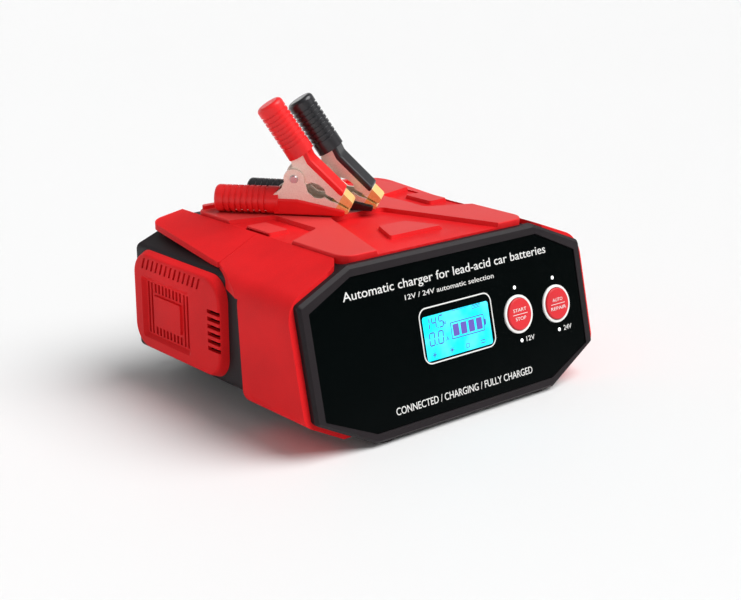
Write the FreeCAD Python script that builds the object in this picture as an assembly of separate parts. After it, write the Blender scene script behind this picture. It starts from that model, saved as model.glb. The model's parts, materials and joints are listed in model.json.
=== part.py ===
"""Car battery charger with two spring clamps lying on its lid.

Millimetres. +X is to the right seen from the front, +Y goes to the back, +Z is up. The origin is on the
ground under the middle of the whole charger, cable glands included.
"""

import FreeCAD
import Part

import math
import os

V = FreeCAD.Vector
X_AXIS, Y_AXIS, Z_AXIS = V(1, 0, 0), V(0, 1, 0), V(0, 0, 1)

# ---- overall sizes ----
BODY_WIDTH = 210.0  # across the two red cheeks
BODY_DEPTH = 173.0  # lower front edge of the bezel to the back face
BODY_HEIGHT = 93.0  # underside of the tray to the top of the lid
PANEL_TILT = 13.6  # degrees that the front leans back
FOOT_DROP = 2.0  # feet below the tray
GLAND_REACH = 7.6  # cable glands behind the back face

# ---- general fits ----
FIT = 0.15  # gap between moulded pieces that sit in each other
AIR = 0.3  # gap between pieces of different moving bodies
BIG = 600.0  # longer than anything here

# ---- eight-sided body section ----
CHEEK_STEP = 7.0  # cheek outside the housing wall
TOP_HALF = 66.0  # half width of the flat top
BOTTOM_HALF = 64.0  # half width of the flat underside
TOP_SLOPE_DROP = 12.4  # height of the upper sloping side
BOTTOM_SLOPE_RISE = 17.0  # height of the lower sloping side
WALL = 2.5
EDGE_ROUND = 4.0  # rounding along the housing's long edges

# ---- lid ----
LID_BASE = 2.3  # lid plate under its low bays
LID_RAISE = 2.5  # raised deck above the bays
LID_SIDE_GAP = 0.4  # lid edge to the cheeks and wings
LID_FRONT_SET = 5.0  # lid behind the bezel's upper front edge
LID_BACK_SET = 12.0  # lid in front of the back face
LID_CORNER = 9.0
LID_EDGE_ROUND = 0.9
BAY_SLOPE = 0.9  # how far a bay's wall leans over its height

# ---- bezel and front panel ----
BEZEL_RIM = 3.0  # bezel outside the housing wall
BEZEL_FACE = 5.8  # width of the frame seen round the panel
BEZEL_DEPTH = 4.4  # flange seen from the side
SPIGOT_DEPTH = 6.0  # collar that goes into the housing
SPIGOT_WALL = 2.0
BEZEL_WEB = 2.2  # carrier wall behind the panel
PANEL_THICK = 1.2
PANEL_SINK = 0.6  # panel face behind the bezel's face
BEZEL_BEVEL = 1.6

# ---- what is on the front panel, from its centre ----
DISPLAY_WIDTH = 48.0
DISPLAY_HEIGHT = 23.6
DISPLAY_X = 0.0
DISPLAY_V = -0.6
DISPLAY_CORNER = 1.6
TRIM_WIDTH = 52.6
TRIM_HEIGHT = 30.2
TRIM_CORNER = 5.4
TRIM_PROUD = 0.25
TRIM_V = 0.4
BUTTON_X = (45.2, 75.4)
BUTTON_V = -0.5
BUTTON_RADIUS = 8.9
RING_BAND = 1.8  # ring round a button
RING_PROUD = 1.0
BUTTON_PROUD = 1.9
BUTTON_GAP = 0.35
BUTTON_TRAVEL = 0.6
BUTTON_FLANGE = 1.2  # collar that keeps the button in
LAMP_RADIUS = 1.0
LAMP_GAP = 4.1  # lamp's centre outside a ring's edge
BOARD_BEHIND = 9.0  # control board behind the panel's face
BOARD_THICK = 1.6
CONTROL_SET_X = 10.2  # control board inside the panel's outline, across
CONTROL_LAMP_EDGE = 8.2  # control board beyond the lamps, up and down
CONTROL_SCREW_SET = 5.0  # its screws inside its corners

# ---- cheeks, wings and side grilles ----
CHEEK_WALL = 3.4
CHEEK_LOW_END = 8.0  # height of the cheek's lower edge
CHEEK_CORNER = 11.0  # rounding of its front upper corner
CHEEK_FRONT_SET = 4.5  # cheek behind the front plane
CHEEK_TOP_BACK = 94.0  # how far back the cheek runs beside the lid, from the front plane at mid height
CHEEK_SIDE_BACK = 54.0  # how far back it runs on the side
CHEEK_ROUND = 15.0
CHEEK_LOW_ROUND = 7.0
CHEEK_SEAM_TAPER = 4.0
WING_THICK = 3.0
WING_BACK_DROP = 3.6  # wing's outer back corner under its inner edge
SEAM_END_SET = 4.0  # outer end of the seam between cheek and wing, inside the housing wall
WING_NARROWING = 6.5  # how much narrower the wing is at the back
WING_BACK_SET = 0.5  # wing in front of the back face
GRILLE_PROUD = 5.0
GRILLE_FRONT_GAP = 17.5  # behind the cheek
GRILLE_BACK_GAP = 3.5  # in front of the back face
GRILLE_LOW_GAP = 1.5
GRILLE_HIGH_GAP = 0.3
GRILLE_CORNER = 13.0
GRILLE_DRAFT = 1.8
GRILLE_EDGE = 2.2  # rounding of the grille's outer edge
GRILLE_WALL = 2.4
BACK_PLATE = 5.0

# ---- clamps ----
CLAMP_X = -0.25  # middle between the two tips
CLAMP_ROOM = 2.35  # from each grip to the middle between the clamps
RED_TIP_Y = 3.8
BLACK_TIP_Y = 2.7
RED_HEADING = -49.5  # degrees
BLACK_HEADING = -53.5
CLAMP_REST = 0.05  # air under a resting clamp
CLAMP_LEAN = 10.0  # degrees it leans to the front
JAW_ANGLE = 29.5  # between the closed jaws and each handle
JAW_LENGTH = 35.3
GRIP_RADIUS = 7.7
GRIP_START = 9.5
GRIP_END = 46.5  # lower handle
UPPER_GRIP_END = 42.5
GRIP_RINGS = 8
RING_GROOVE = 0.7
RING_WIDTH = 1.2
LOWER_OFFSET = 15.0  # lower handle's axis from the pivot
UPPER_OFFSET = 10.0
LOWER_HALF_WIDTH = 5.6
UPPER_HALF_WIDTH = 4.45
SHEET = 1.0
STRIP_COVER = 1.4  # plastic strip outside the metal back
STRIP_SIDE = 1.1
CAP_FROM = 28.0  # where the toothed tips begin
STRIP_END = 28.0  # where the upper jaw's plastic strip ends
RIVET_RADIUS = 1.9
RIVET_HEAD = 2.5
RUNNING = 0.05
CABLE_RADIUS = 3.0
SPRING_RADIUS = 3.4
SPRING_WIRE = 0.55
SPRING_TURNS = 3
HANDLE_METAL_END = 36.0

# ---- inside ----
SPLIT_Z = 14.0  # where the housing stands on the tray
TRAY_FLOOR = 2.5
POST_X = 40.0
POST_FRONT_GAP = 0.96  # front posts behind the bezel's collar
POST_BACK = 13.0  # in front of the back face
POST_RADIUS = 4.5
SCREW_RADIUS = 1.5
SCREW_HEAD = 3.0
FOOT_RADIUS = 8.0
FOOT_X = 55.4
FOOT_FRONT = 11.0
FOOT_BACK = 20.0
FOOT_STEM = 2.5
MAIN_BOARD_Z = 13.0
MAIN_BOARD_HALF = 70.0
BOARD_POST_GAP = 2.0  # main board behind the front posts
FAN_LOW = 20.0  # underside of the fan above the ground
FAN_HEADROOM = 7.7  # fan under the housing's ceiling
FAN_RIM = 2.0  # frame wall round the duct
FAN_TIP_GAP = 0.7  # blade tips inside the duct
FAN_DEPTH = 15.0
FAN_BLADES = 7
FAN_HUB = 12.0
GLAND_RADIUS = 6.0
GLAND_X = 62.0
GLAND_Z = 24.0
CORD_RADIUS = 3.3

# ---- worked out ----
TRAY_Z = FOOT_DROP
LID_TOP = TRAY_Z + BODY_HEIGHT
LID_FLOOR = LID_TOP - LID_RAISE
DECK = LID_FLOOR - LID_BASE  # top of the housing, under the lid
HOUSING_HALF = BODY_WIDTH / 2 - CHEEK_STEP
SIDE_HIGH = DECK - TOP_SLOPE_DROP
SIDE_LOW = TRAY_Z + BOTTOM_SLOPE_RISE
FRONT_Y = -(BODY_DEPTH + GLAND_REACH) / 2
BACK_Y = FRONT_Y + BODY_DEPTH
TILT = math.radians(PANEL_TILT)
BEZEL_TOP = DECK + 1.3
BEZEL_HALF = HOUSING_HALF + BEZEL_RIM
MID_HEIGHT = (BEZEL_TOP + TRAY_Z) / 2
PANEL_HALF_WIDTH = BEZEL_HALF - BEZEL_FACE
PANEL_HALF_HEIGHT = (BEZEL_TOP - TRAY_Z) / math.cos(TILT) / 2 - BEZEL_FACE + 0.3
LID_HALF = TOP_HALF - LID_SIDE_GAP
TOP_ANGLE = math.atan2(TOP_SLOPE_DROP, HOUSING_HALF - TOP_HALF)
LOW_ANGLE = math.atan2(BOTTOM_SLOPE_RISE, HOUSING_HALF - BOTTOM_HALF)
PANEL_BACK = -(PANEL_SINK + PANEL_THICK)
WEB_BACK = PANEL_BACK - BEZEL_WEB
MIDDLE_Y = FRONT_Y + (MID_HEIGHT - TRAY_Z) * math.tan(TILT)
LID_FRONT = FRONT_Y + (BEZEL_TOP - TRAY_Z) * math.tan(TILT) + LID_FRONT_SET
LID_BACK = BACK_Y - LID_BACK_SET
CHEEK_SIDE_Y = MIDDLE_Y + CHEEK_SIDE_BACK
SEAM_Y = MIDDLE_Y + CHEEK_TOP_BACK - 5.2
COVER_FRONT = BACK_Y - BACK_PLATE
COLLAR_BACK = FRONT_Y + (DECK - TRAY_Z) * math.tan(TILT) + (BEZEL_DEPTH + SPIGOT_DEPTH) / math.cos(TILT)
POST_FRONT_Y = COLLAR_BACK + POST_FRONT_GAP + POST_RADIUS
SEAM_END = HOUSING_HALF - SEAM_END_SET
CONTROL_HALF_WIDTH = PANEL_HALF_WIDTH - CONTROL_SET_X
FAN_SIZE = DECK - WALL - FAN_HEADROOM - FAN_LOW
FAN_Z = FAN_LOW + FAN_SIZE / 2
FAN_BORE = FAN_SIZE / 2 - FAN_RIM
FAN_TIP = FAN_BORE - FAN_TIP_GAP
RING_RADIUS = BUTTON_RADIUS + RING_BAND
LAMP_ABOVE = RING_RADIUS + LAMP_GAP
CONTROL_HALF_HEIGHT = LAMP_ABOVE + CONTROL_LAMP_EDGE
JAW = math.radians(JAW_ANGLE)
PIVOT_H = GRIP_RADIUS + LOWER_OFFSET
PIVOT_S = -26.5
BOARD_FACE = -(PANEL_SINK + BOARD_BEHIND + 1.0)
MAIN_TOP = MAIN_BOARD_Z + BOARD_THICK
BOARD_FRONT = POST_FRONT_Y + POST_RADIUS + BOARD_POST_GAP
BOARD_BACK = COVER_FRONT - FAN_DEPTH - 6.0
POST_SPOTS = [V(sx * POST_X, y, 0) for sx in (-1, 1) for y in (POST_FRONT_Y, BACK_Y - POST_BACK)]
FOOT_SPOTS = [V(sx * FOOT_X, y, 0) for sx in (-1, 1) for y in (FRONT_Y + FOOT_FRONT, BACK_Y - FOOT_BACK)]
BOARD_SPOTS = [V(sx * (MAIN_BOARD_HALF - 5), y, 0) for sx in (-1, 1)
               for y in (BOARD_FRONT + 5, BOARD_BACK - 5)]
COVER_SPOTS = [V(sx * 78.0, 0, z) for sx in (-1, 1) for z in (SIDE_LOW + 7, SIDE_HIGH - 7)]
CLAMP_SPREAD = GRIP_RADIUS + CLAMP_ROOM
CLAMP_PLACES = (("red", CLAMP_X - CLAMP_SPREAD, RED_TIP_Y, RED_HEADING),
                ("black", CLAMP_X + CLAMP_SPREAD, BLACK_TIP_Y,
                 BLACK_HEADING))  # name, tip x and y, heading
BUTTON_SPOTS = [(x, BUTTON_V) for x in BUTTON_X]
LAMP_SPOTS = [(x + 0.2, BUTTON_V + up) for x in BUTTON_X for up in (-LAMP_ABOVE, LAMP_ABOVE)]


# ---- helpers ----
def rounded_wire(points, radii):
    """Closed wire through points in one plane, each corner rounded by its radius (0 keeps it sharp)."""
    n = len(points)
    if not isinstance(radii, (list, tuple)):
        radii = [radii] * n
    ends = []
    for i, p in enumerate(points):
        to_a = (points[i - 1] - p).normalize()
        to_b = (points[(i + 1) % n] - p).normalize()
        half = to_a.getAngle(to_b) / 2
        r = radii[i]
        if r <= 0 or half > math.pi / 2 - 1e-3:
            ends.append((p, None, p))
            continue
        run = r / math.tan(half)
        middle = p + (to_a + to_b).normalize() * (r / math.sin(half) - r)
        ends.append((p + to_a * run, middle, p + to_b * run))
    edges = []
    for i, (start, middle, end) in enumerate(ends):
        if middle is not None:
            edges.append(Part.Arc(start, middle, end).toShape())
        following = ends[(i + 1) % n][0]
        if (following - end).Length > 1e-6:
            edges.append(Part.LineSegment(end, following).toShape())
    return Part.Wire(edges)


def prism(points, radii, along):
    """Solid swept from a closed outline of points along a vector."""
    return Part.Face(rounded_wire(points, radii)).extrude(along)


def loft(low_points, high_points, radii):
    """Solid between two rounded outlines with the same corners."""
    return Part.makeLoft([rounded_wire(low_points, radii), rounded_wire(high_points, radii)], True, True)


def box(low, high):
    """Box from its low corner to its high corner."""
    return Part.makeBox(high[0] - low[0], high[1] - low[1], high[2] - low[2], V(*low))


def rod(radius, start, along):
    """Cylinder from a point along a vector."""
    return Part.makeCylinder(radius, along.Length, start, along)


def joined(*shapes):
    """One solid out of several that touch or overlap."""
    return shapes[0].multiFuse(list(shapes[1:])).removeSplitter()


def without(shape, *tools):
    """A shape with every tool cut away."""
    return shape.cut(Part.makeCompound(list(tools)))


def mirrored(shape):
    """The same piece on the other side of the charger."""
    return shape.mirror(V(0, 0, 0), X_AXIS)


def symmetric(corners, y):
    """Left and right corners in the plane at y from right-hand (x, z) corners, bottom to top."""
    right = [V(x, y, z) for x, z in corners]
    left = [V(-x, y, z) for x, z in reversed(corners)]
    return right + left


def section_corners(grow, top_z, bottom_z):
    """Right-hand corners of the housing section, its side and slopes moved outwards by a distance."""
    half = HOUSING_HALF + grow
    high = SIDE_HIGH + grow * (1 - math.sin(TOP_ANGLE)) / math.cos(TOP_ANGLE)
    low = SIDE_LOW - grow * (1 - math.sin(LOW_ANGLE)) / math.cos(LOW_ANGLE)
    top_half = half - (top_z - high) / math.tan(TOP_ANGLE)
    bottom_half = half - (low - bottom_z) / math.tan(LOW_ANGLE)
    return [(bottom_half, bottom_z), (half, low), (half, high), (top_half, top_z)]


def body_prism(grow, y_from, y_to, rounding=EDGE_ROUND):
    """The housing section grown by a distance and swept along Y."""
    corners = section_corners(grow, DECK + grow, TRAY_Z - grow)
    return prism(symmetric(corners, y_from), rounding, V(0, y_to - y_from, 0))


def behind_front(set_back, depth=BIG):
    """A slab parallel to the leaning front, starting a distance behind the front plane."""
    slab = Part.makeBox(BIG, depth, BIG, V(-BIG / 2, 0, -BIG / 2))
    slab.rotate(V(0, 0, 0), X_AXIS, -PANEL_TILT)
    inward = V(0, math.cos(TILT), -math.sin(TILT))
    slab.translate(V(0, MIDDLE_Y, MID_HEIGHT) + inward * set_back)
    return slab


def on_panel(shape):
    """Moves a shape drawn with X right, Y up and Z outwards onto the leaning front plane."""
    turn = FreeCAD.Rotation(X_AXIS, 90 - PANEL_TILT)
    moved = shape.copy()
    moved.Placement = FreeCAD.Placement(V(0, MIDDLE_Y, MID_HEIGHT), turn).multiply(moved.Placement)
    return moved


def plate(width, height, corner, low, high, x=0.0, v=0.0):
    """Rounded rectangle between two distances out from the front plane, before on_panel."""
    w, h = width / 2, height / 2
    points = [V(x - w, v - h, low), V(x + w, v - h, low), V(x + w, v + h, low), V(x - w, v + h, low)]
    return prism(points, corner, V(0, 0, high - low))


def disc(radius, low, high, x, v):
    """Disc between two distances out from the front plane, before on_panel."""
    return Part.makeCylinder(radius, high - low, V(x, v, low))


def octagon(shrink, low, high):
    """The front panel's eight-sided outline shrunk by a gap, before on_panel."""
    half = PANEL_HALF_WIDTH - shrink
    tall = PANEL_HALF_HEIGHT - shrink
    corners = [(half - 31.1, -tall), (half, -tall + 13.6), (half, tall - 13.4), (half - 28.6, tall)]
    right = [V(x, v, low) for x, v in corners]
    left = [V(-x, v, low) for x, v in reversed(corners)]
    return prism(right + left, 1.2, V(0, 0, high - low))


def screw(point, along, length):
    """Pan-head screw whose head starts at a point and whose shank runs along a direction."""
    head = rod(SCREW_HEAD, point, along * 2.0)
    shank = rod(SCREW_RADIUS, point, along * length)
    recess = rod(1.0, point, along * 0.9)
    return without(joined(head, shank), recess)


# ---- casing ----
def grille_limits(y_margin=0.0, z_margin=0.0):
    """Y and Z limits of a side grille, drawn in by margins."""
    y0 = CHEEK_SIDE_Y + GRILLE_FRONT_GAP + y_margin
    y1 = BACK_Y - GRILLE_BACK_GAP - y_margin
    z0 = SIDE_LOW + GRILLE_LOW_GAP + z_margin
    z1 = SIDE_HIGH - GRILLE_HIGH_GAP - z_margin
    return y0, y1, z0, z1


def shell():
    """The whole hollow casing behind the bezel, before it is split."""
    outer = body_prism(0, FRONT_Y, COVER_FRONT)
    inner = body_prism(-WALL, FRONT_Y - 1, COVER_FRONT + 1, EDGE_ROUND - WALL)
    return outer.cut(inner).common(behind_front(BEZEL_DEPTH))


def housing():
    """Upper casing with screw posts, side windows and an opening under the lid."""
    y0, y1, z0, z1 = grille_limits(9, 9)
    window = box((-BIG, y0, z0), (BIG, y1, z1))
    hatch = box((-50, LID_FRONT + 22, DECK - 10), (50, LID_BACK - 16, DECK + 10))
    upper = shell().common(box((-BIG, -BIG, SPLIT_Z), (BIG, BIG, BIG)))
    inside = body_prism(-WALL / 2, FRONT_Y, COVER_FRONT)
    posts = [rod(POST_RADIUS, spot + V(0, 0, SPLIT_Z), Z_AXIS * 80).common(inside) for spot in POST_SPOTS]
    holes = [rod(SCREW_RADIUS, spot + V(0, 0, SPLIT_Z), Z_AXIS * 14) for spot in POST_SPOTS]
    pins = [rod(2.6, spot + V(0, 0, DECK - 6), Z_AXIS * 12) for spot in lid_pin_spots()]
    return without(joined(upper, *posts), window, hatch, *holes, *pins)


def lid_pin_spots():
    """Where the lid's four pins enter the housing."""
    return [V(sx * 58.0, y, 0) for sx in (-1, 1) for y in (LID_FRONT + 15, LID_BACK - 10)]


def base_tray():
    """Floor with a low wall, screw bosses, board pillars, foot holes and air slots."""
    lower = shell().common(box((-BIG, -BIG, -BIG), (BIG, BIG, SPLIT_Z)))
    bosses = [rod(POST_RADIUS, spot + V(0, 0, TRAY_Z), Z_AXIS * (SPLIT_Z - TRAY_Z))
              for spot in POST_SPOTS]
    pillars = [rod(3.5, spot + V(0, 0, TRAY_Z + 1), Z_AXIS * (MAIN_BOARD_Z - TRAY_Z - 1))
               for spot in BOARD_SPOTS]
    inside = body_prism(-WALL / 2, FRONT_Y, COVER_FRONT)
    pieces = [piece.common(inside) for piece in bosses + pillars]
    cuts = []
    for spot in POST_SPOTS:
        cuts.append(rod(SCREW_RADIUS, spot, Z_AXIS * 20))
        cuts.append(rod(SCREW_HEAD + 0.3, spot, Z_AXIS * (TRAY_Z + 3.0)))
    cuts += [rod(SCREW_RADIUS - 0.3, spot + V(0, 0, 6), Z_AXIS * 10) for spot in BOARD_SPOTS]
    cuts += [rod(FOOT_STEM, spot, Z_AXIS * 10) for spot in FOOT_SPOTS]
    for i in range(9):
        x = -32.0 + i * 8.0
        cuts.append(box((x - 1.5, -20, 0), (x + 1.5, 25, TRAY_Z + TRAY_FLOOR + 1)))
    return without(joined(lower, *pieces), *cuts)


def feet():
    """Four round rubber feet with stems."""
    made = []
    for spot in FOOT_SPOTS:
        pad = rod(FOOT_RADIUS, spot, Z_AXIS * FOOT_DROP)
        rims = [edge for edge in pad.Edges if edge.BoundBox.ZMax < 0.1 and edge.Closed]
        pad = pad.makeFillet(0.8, rims)
        made.append(joined(pad, rod(FOOT_STEM, spot, Z_AXIS * (TRAY_Z + WALL))))
    return Part.makeCompound(made)


def base_screws():
    """Screws from below through the tray into the housing posts."""
    return Part.makeCompound([screw(spot + V(0, 0, TRAY_Z + 1.0), Z_AXIS, 20) for spot in POST_SPOTS])


def rear_cover():
    """Back plate with a fan grille, gland holes and screw holes."""
    body = body_prism(0, COVER_FRONT, BACK_Y)
    back_edges = [edge for edge in body.Edges if edge.BoundBox.YMin > BACK_Y - 0.01]
    body = body.makeFillet(2.0, back_edges)
    middle = V(0, COVER_FRONT - 1, FAN_Z)
    opening = rod(FAN_BORE - 2, middle, Y_AXIS * 10)
    bars = [box((-40, COVER_FRONT - 1, FAN_Z - 27 + i * 6), (40, BACK_Y + 1, FAN_Z - 24.4 + i * 6))
            for i in range(10)]
    air = opening.cut(Part.makeCompound(bars)).cut(box((-1.5, -BIG, 0), (1.5, BIG, BIG)))
    cuts = [air]
    cuts += [rod(GLAND_RADIUS, V(x, COVER_FRONT - 1, GLAND_Z), Y_AXIS * 10) for x in (-GLAND_X, GLAND_X)]
    cuts += [rod(SCREW_RADIUS, V(s.x, COVER_FRONT - 9, s.z), Y_AXIS * 20) for s in COVER_SPOTS]
    cuts += [rod(SCREW_HEAD + 0.3, V(s.x, BACK_Y - 2.2, s.z), Y_AXIS * 10) for s in COVER_SPOTS]
    cuts += [rod(SCREW_RADIUS, spot, Y_AXIS * 3) for spot in fan_screw_spots(COVER_FRONT - 0.01)]
    blocks = [rod(4.0, V(s.x, COVER_FRONT - 8, s.z), Y_AXIS * 8.5) for s in COVER_SPOTS]
    blocks = [b.common(body_prism(-WALL - FIT, FRONT_Y, BACK_Y)) for b in blocks]
    return without(joined(body, *blocks), *cuts)


def rear_screws():
    """Screws that hold the back plate."""
    return Part.makeCompound([screw(V(s.x, BACK_Y - 0.2, s.z), -Y_AXIS, 9) for s in COVER_SPOTS])


def gland(side):
    """Cable gland with a collar outside, a snap lip inside and a bore for the cord."""
    x = side * GLAND_X
    axis = V(x, COVER_FRONT, GLAND_Z)
    neck = rod(GLAND_RADIUS, axis, Y_AXIS * BACK_PLATE)
    lip = rod(GLAND_RADIUS + 1.0, axis - Y_AXIS * 2, Y_AXIS * 2)
    collar = rod(GLAND_RADIUS + 2.0, V(x, BACK_Y, GLAND_Z), Y_AXIS * 2.5)
    tail = Part.makeCone(GLAND_RADIUS, 4.6, GLAND_REACH - 2.5, V(x, BACK_Y + 2.5, GLAND_Z), Y_AXIS)
    bore = rod(CORD_RADIUS, axis - Y_AXIS * 3, Y_AXIS * 30)
    return without(joined(neck, lip, collar, tail), bore)


# ---- front ----
def bezel_corners():
    """Right-hand corners of the bezel's outline."""
    return [(BOTTOM_HALF + 1, TRAY_Z), (BEZEL_HALF, SIDE_LOW + 0.9), (BEZEL_HALF, SIDE_HIGH - 0.6),
            (TOP_HALF + 0.5, BEZEL_TOP)]


def front_bezel():
    """Frame round the front panel with a carrier wall and a collar that enters the housing."""
    flange = prism(symmetric(bezel_corners(), FRONT_Y - 5), 3.0, V(0, 60, 0))
    flange = flange.common(behind_front(0, BEZEL_DEPTH))
    face = [e for e in flange.Edges if on_front_plane(e)]
    flange = flange.makeChamfer(BEZEL_BEVEL, face)
    reach = BEZEL_DEPTH + SPIGOT_DEPTH
    collar = body_prism(-WALL - FIT, FRONT_Y - 5, FRONT_Y + 90, 1.4)
    collar = collar.common(behind_front(2.0, reach - 2.0))
    hollow = body_prism(-WALL - FIT - SPIGOT_WALL, FRONT_Y - 6, FRONT_Y + 91, 0)
    hollow = hollow.common(behind_front(-WEB_BACK, 60))
    cuts = [hollow, on_panel(octagon(-FIT, PANEL_BACK, 5))]
    cuts += [on_panel(shape) for shape in web_openings()]
    frame = without(joined(flange, collar), *cuts)
    pillars = [on_panel(disc(3.0, BOARD_FACE, WEB_BACK + 0.5, x, v)) for x, v in board_screw_places()]
    holes = [on_panel(disc(1.2, BOARD_FACE - 1, WEB_BACK - 0.5, x, v)) for x, v in board_screw_places()]
    return without(joined(frame, *pillars), *holes)


def on_front_plane(edge):
    """True when an edge lies in the leaning front plane."""
    outward = V(0, -math.cos(TILT), math.sin(TILT))
    return all(abs((vertex.Point - V(0, MIDDLE_Y, MID_HEIGHT)).dot(outward)) < 1e-3
               for vertex in edge.Vertexes)


def web_openings():
    """Openings in the carrier wall, before on_panel."""
    deep = WEB_BACK - 1
    cuts = [plate(DISPLAY_WIDTH - 2, DISPLAY_HEIGHT - 2, 1.0, deep, 0, DISPLAY_X, DISPLAY_V)]
    cuts += [disc(BUTTON_RADIUS + BUTTON_GAP, deep, 0, x, v) for x, v in BUTTON_SPOTS]
    cuts += [disc(LAMP_RADIUS, deep, 0, x, v) for x, v in LAMP_SPOTS]
    return cuts


def front_panel():
    """Glossy eight-sided panel with its openings."""
    body = octagon(0, PANEL_BACK, -PANEL_SINK)
    cuts = [plate(DISPLAY_WIDTH + 0.2, DISPLAY_HEIGHT + 0.2, DISPLAY_CORNER, PANEL_BACK - 1, 1, DISPLAY_X,
                  DISPLAY_V)]
    cuts += [disc(RING_RADIUS, PANEL_BACK - 1, 1, x, v) for x, v in BUTTON_SPOTS]
    cuts += [disc(LAMP_RADIUS, PANEL_BACK - 1, 1, x, v) for x, v in LAMP_SPOTS]
    return on_panel(without(body, *cuts))


def display_frame():
    """Thin raised frame round the display."""
    low, high = -PANEL_SINK, -PANEL_SINK + TRIM_PROUD
    outer = plate(TRIM_WIDTH, TRIM_HEIGHT, TRIM_CORNER, low, high, DISPLAY_X, TRIM_V)
    inner = plate(DISPLAY_WIDTH + 0.2, DISPLAY_HEIGHT + 0.2, DISPLAY_CORNER, low - 1, high + 1, DISPLAY_X,
                  DISPLAY_V)
    return on_panel(outer.cut(inner))


def display_window():
    """Display glass in the panel."""
    return on_panel(plate(DISPLAY_WIDTH, DISPLAY_HEIGHT, DISPLAY_CORNER - 0.1, PANEL_BACK,
                          -PANEL_SINK - 0.2, DISPLAY_X, DISPLAY_V))


def display_module():
    """Display body between the carrier wall and the control board."""
    body = plate(DISPLAY_WIDTH + 8, DISPLAY_HEIGHT + 10, 1.0, BOARD_FACE, WEB_BACK, DISPLAY_X, DISPLAY_V)
    lens = plate(DISPLAY_WIDTH - 2.4, DISPLAY_HEIGHT - 2.4, 0.8, WEB_BACK - 1, PANEL_BACK, DISPLAY_X,
                 DISPLAY_V)
    return on_panel(joined(body, lens))


def button_ring(x):
    """Ring round a button."""
    outer = disc(RING_RADIUS, PANEL_BACK, -PANEL_SINK + RING_PROUD, x, BUTTON_V)
    outer = outer.makeFillet(0.5, [outer.Edges[i] for i in range(3) if outer.Edges[i].Closed
                                   and outer.Edges[i].BoundBox.ZMin > PANEL_BACK + 1])
    return on_panel(outer.cut(disc(BUTTON_RADIUS + BUTTON_GAP, PANEL_BACK - 1, 5, x, BUTTON_V)))


def button(x):
    """Push button with a collar behind the carrier wall and a plunger."""
    top = -PANEL_SINK + BUTTON_PROUD
    collar_top = WEB_BACK - AIR
    cap = disc(BUTTON_RADIUS, collar_top - 1, top, x, BUTTON_V)
    cap = cap.makeFillet(0.8, [e for e in cap.Edges if e.Closed and e.BoundBox.ZMin > top - 0.01])
    collar = disc(BUTTON_RADIUS + BUTTON_FLANGE, collar_top - 1.2, collar_top, x, BUTTON_V)
    plunger = disc(2.0, BOARD_FACE + 3.4 + BUTTON_TRAVEL + AIR, collar_top - 1.0, x, BUTTON_V)
    hollow = disc(BUTTON_RADIUS - 1.6, collar_top - 3, top - 1.6, x, BUTTON_V)
    rib = disc(2.0, collar_top - 1.2, top - 1.0, x, BUTTON_V)
    return on_panel(joined(without(joined(cap, collar), hollow), plunger, rib))


def tact_switches():
    """Two small switches on the control board behind the buttons."""
    made = []
    for x, v in BUTTON_SPOTS:
        base = plate(6.0, 6.0, 0.4, BOARD_FACE, BOARD_FACE + 2.6, x, v)
        made.append(on_panel(joined(base, disc(1.6, BOARD_FACE, BOARD_FACE + 3.4, x, v))))
    return Part.makeCompound(made)


def light_pipes():
    """Four clear rods that carry the lamps' light to the panel."""
    low, high = BOARD_FACE + 1.2, -PANEL_SINK + 0.1
    return Part.makeCompound([on_panel(disc(LAMP_RADIUS, low, high, x, v)) for x, v in LAMP_SPOTS])


def control_board():
    """Board behind the panel that carries the display, the switches and the lamps."""
    board = plate(2 * CONTROL_HALF_WIDTH, 2 * CONTROL_HALF_HEIGHT, 2.0, BOARD_FACE - BOARD_THICK,
                  BOARD_FACE)
    lamps = [disc(1.5, BOARD_FACE - 0.1, BOARD_FACE + 1.2, x, v) for x, v in LAMP_SPOTS]
    chip = plate(12.0, 12.0, 0.3, BOARD_FACE - BOARD_THICK - 1.5, BOARD_FACE - BOARD_THICK + 0.1, -45, 0)
    holes = [disc(1.2, BOARD_FACE - 3, BOARD_FACE + 1, x, v) for x, v in board_screw_places()]
    return on_panel(without(joined(board, chip, *lamps), *holes))


def board_screw_places():
    """Where the control board is screwed to the bezel's pillars."""
    x, v = CONTROL_HALF_WIDTH - CONTROL_SCREW_SET, CONTROL_HALF_HEIGHT - CONTROL_SCREW_SET
    return [(sx * x, sv * v) for sx in (-1, 1) for sv in (-1, 1)]


def control_screws():
    """Screws through the control board into the bezel's pillars."""
    made = []
    for x, v in board_screw_places():
        back = BOARD_FACE - BOARD_THICK
        made.append(on_panel(joined(disc(2.2, back - 1.5, back, x, v),
                                    disc(1.2, back - 0.5, BOARD_FACE + 4, x, v))))
    return Part.makeCompound(made)


# ---- red covers ----
def cover_corners(drop):
    """Right-hand corners of the cheek's outer section, drawn in by a distance."""
    half = BODY_WIDTH / 2 - drop
    lift = LID_BASE + 0.7 - drop / math.cos(TOP_ANGLE)
    high = DECK + lift - (half - TOP_HALF) * math.tan(TOP_ANGLE)
    sink = 3.4 - drop / math.cos(LOW_ANGLE)
    low = TRAY_Z - sink + (half - BOTTOM_HALF) * math.tan(LOW_ANGLE)
    inner_high = DECK + lift + 20 * math.tan(TOP_ANGLE)
    return [(BOTTOM_HALF - 10, low - (half - BOTTOM_HALF + 10) * math.tan(LOW_ANGLE)), (half, low),
            (half, high),
            (TOP_HALF - 20, inner_high)]


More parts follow.
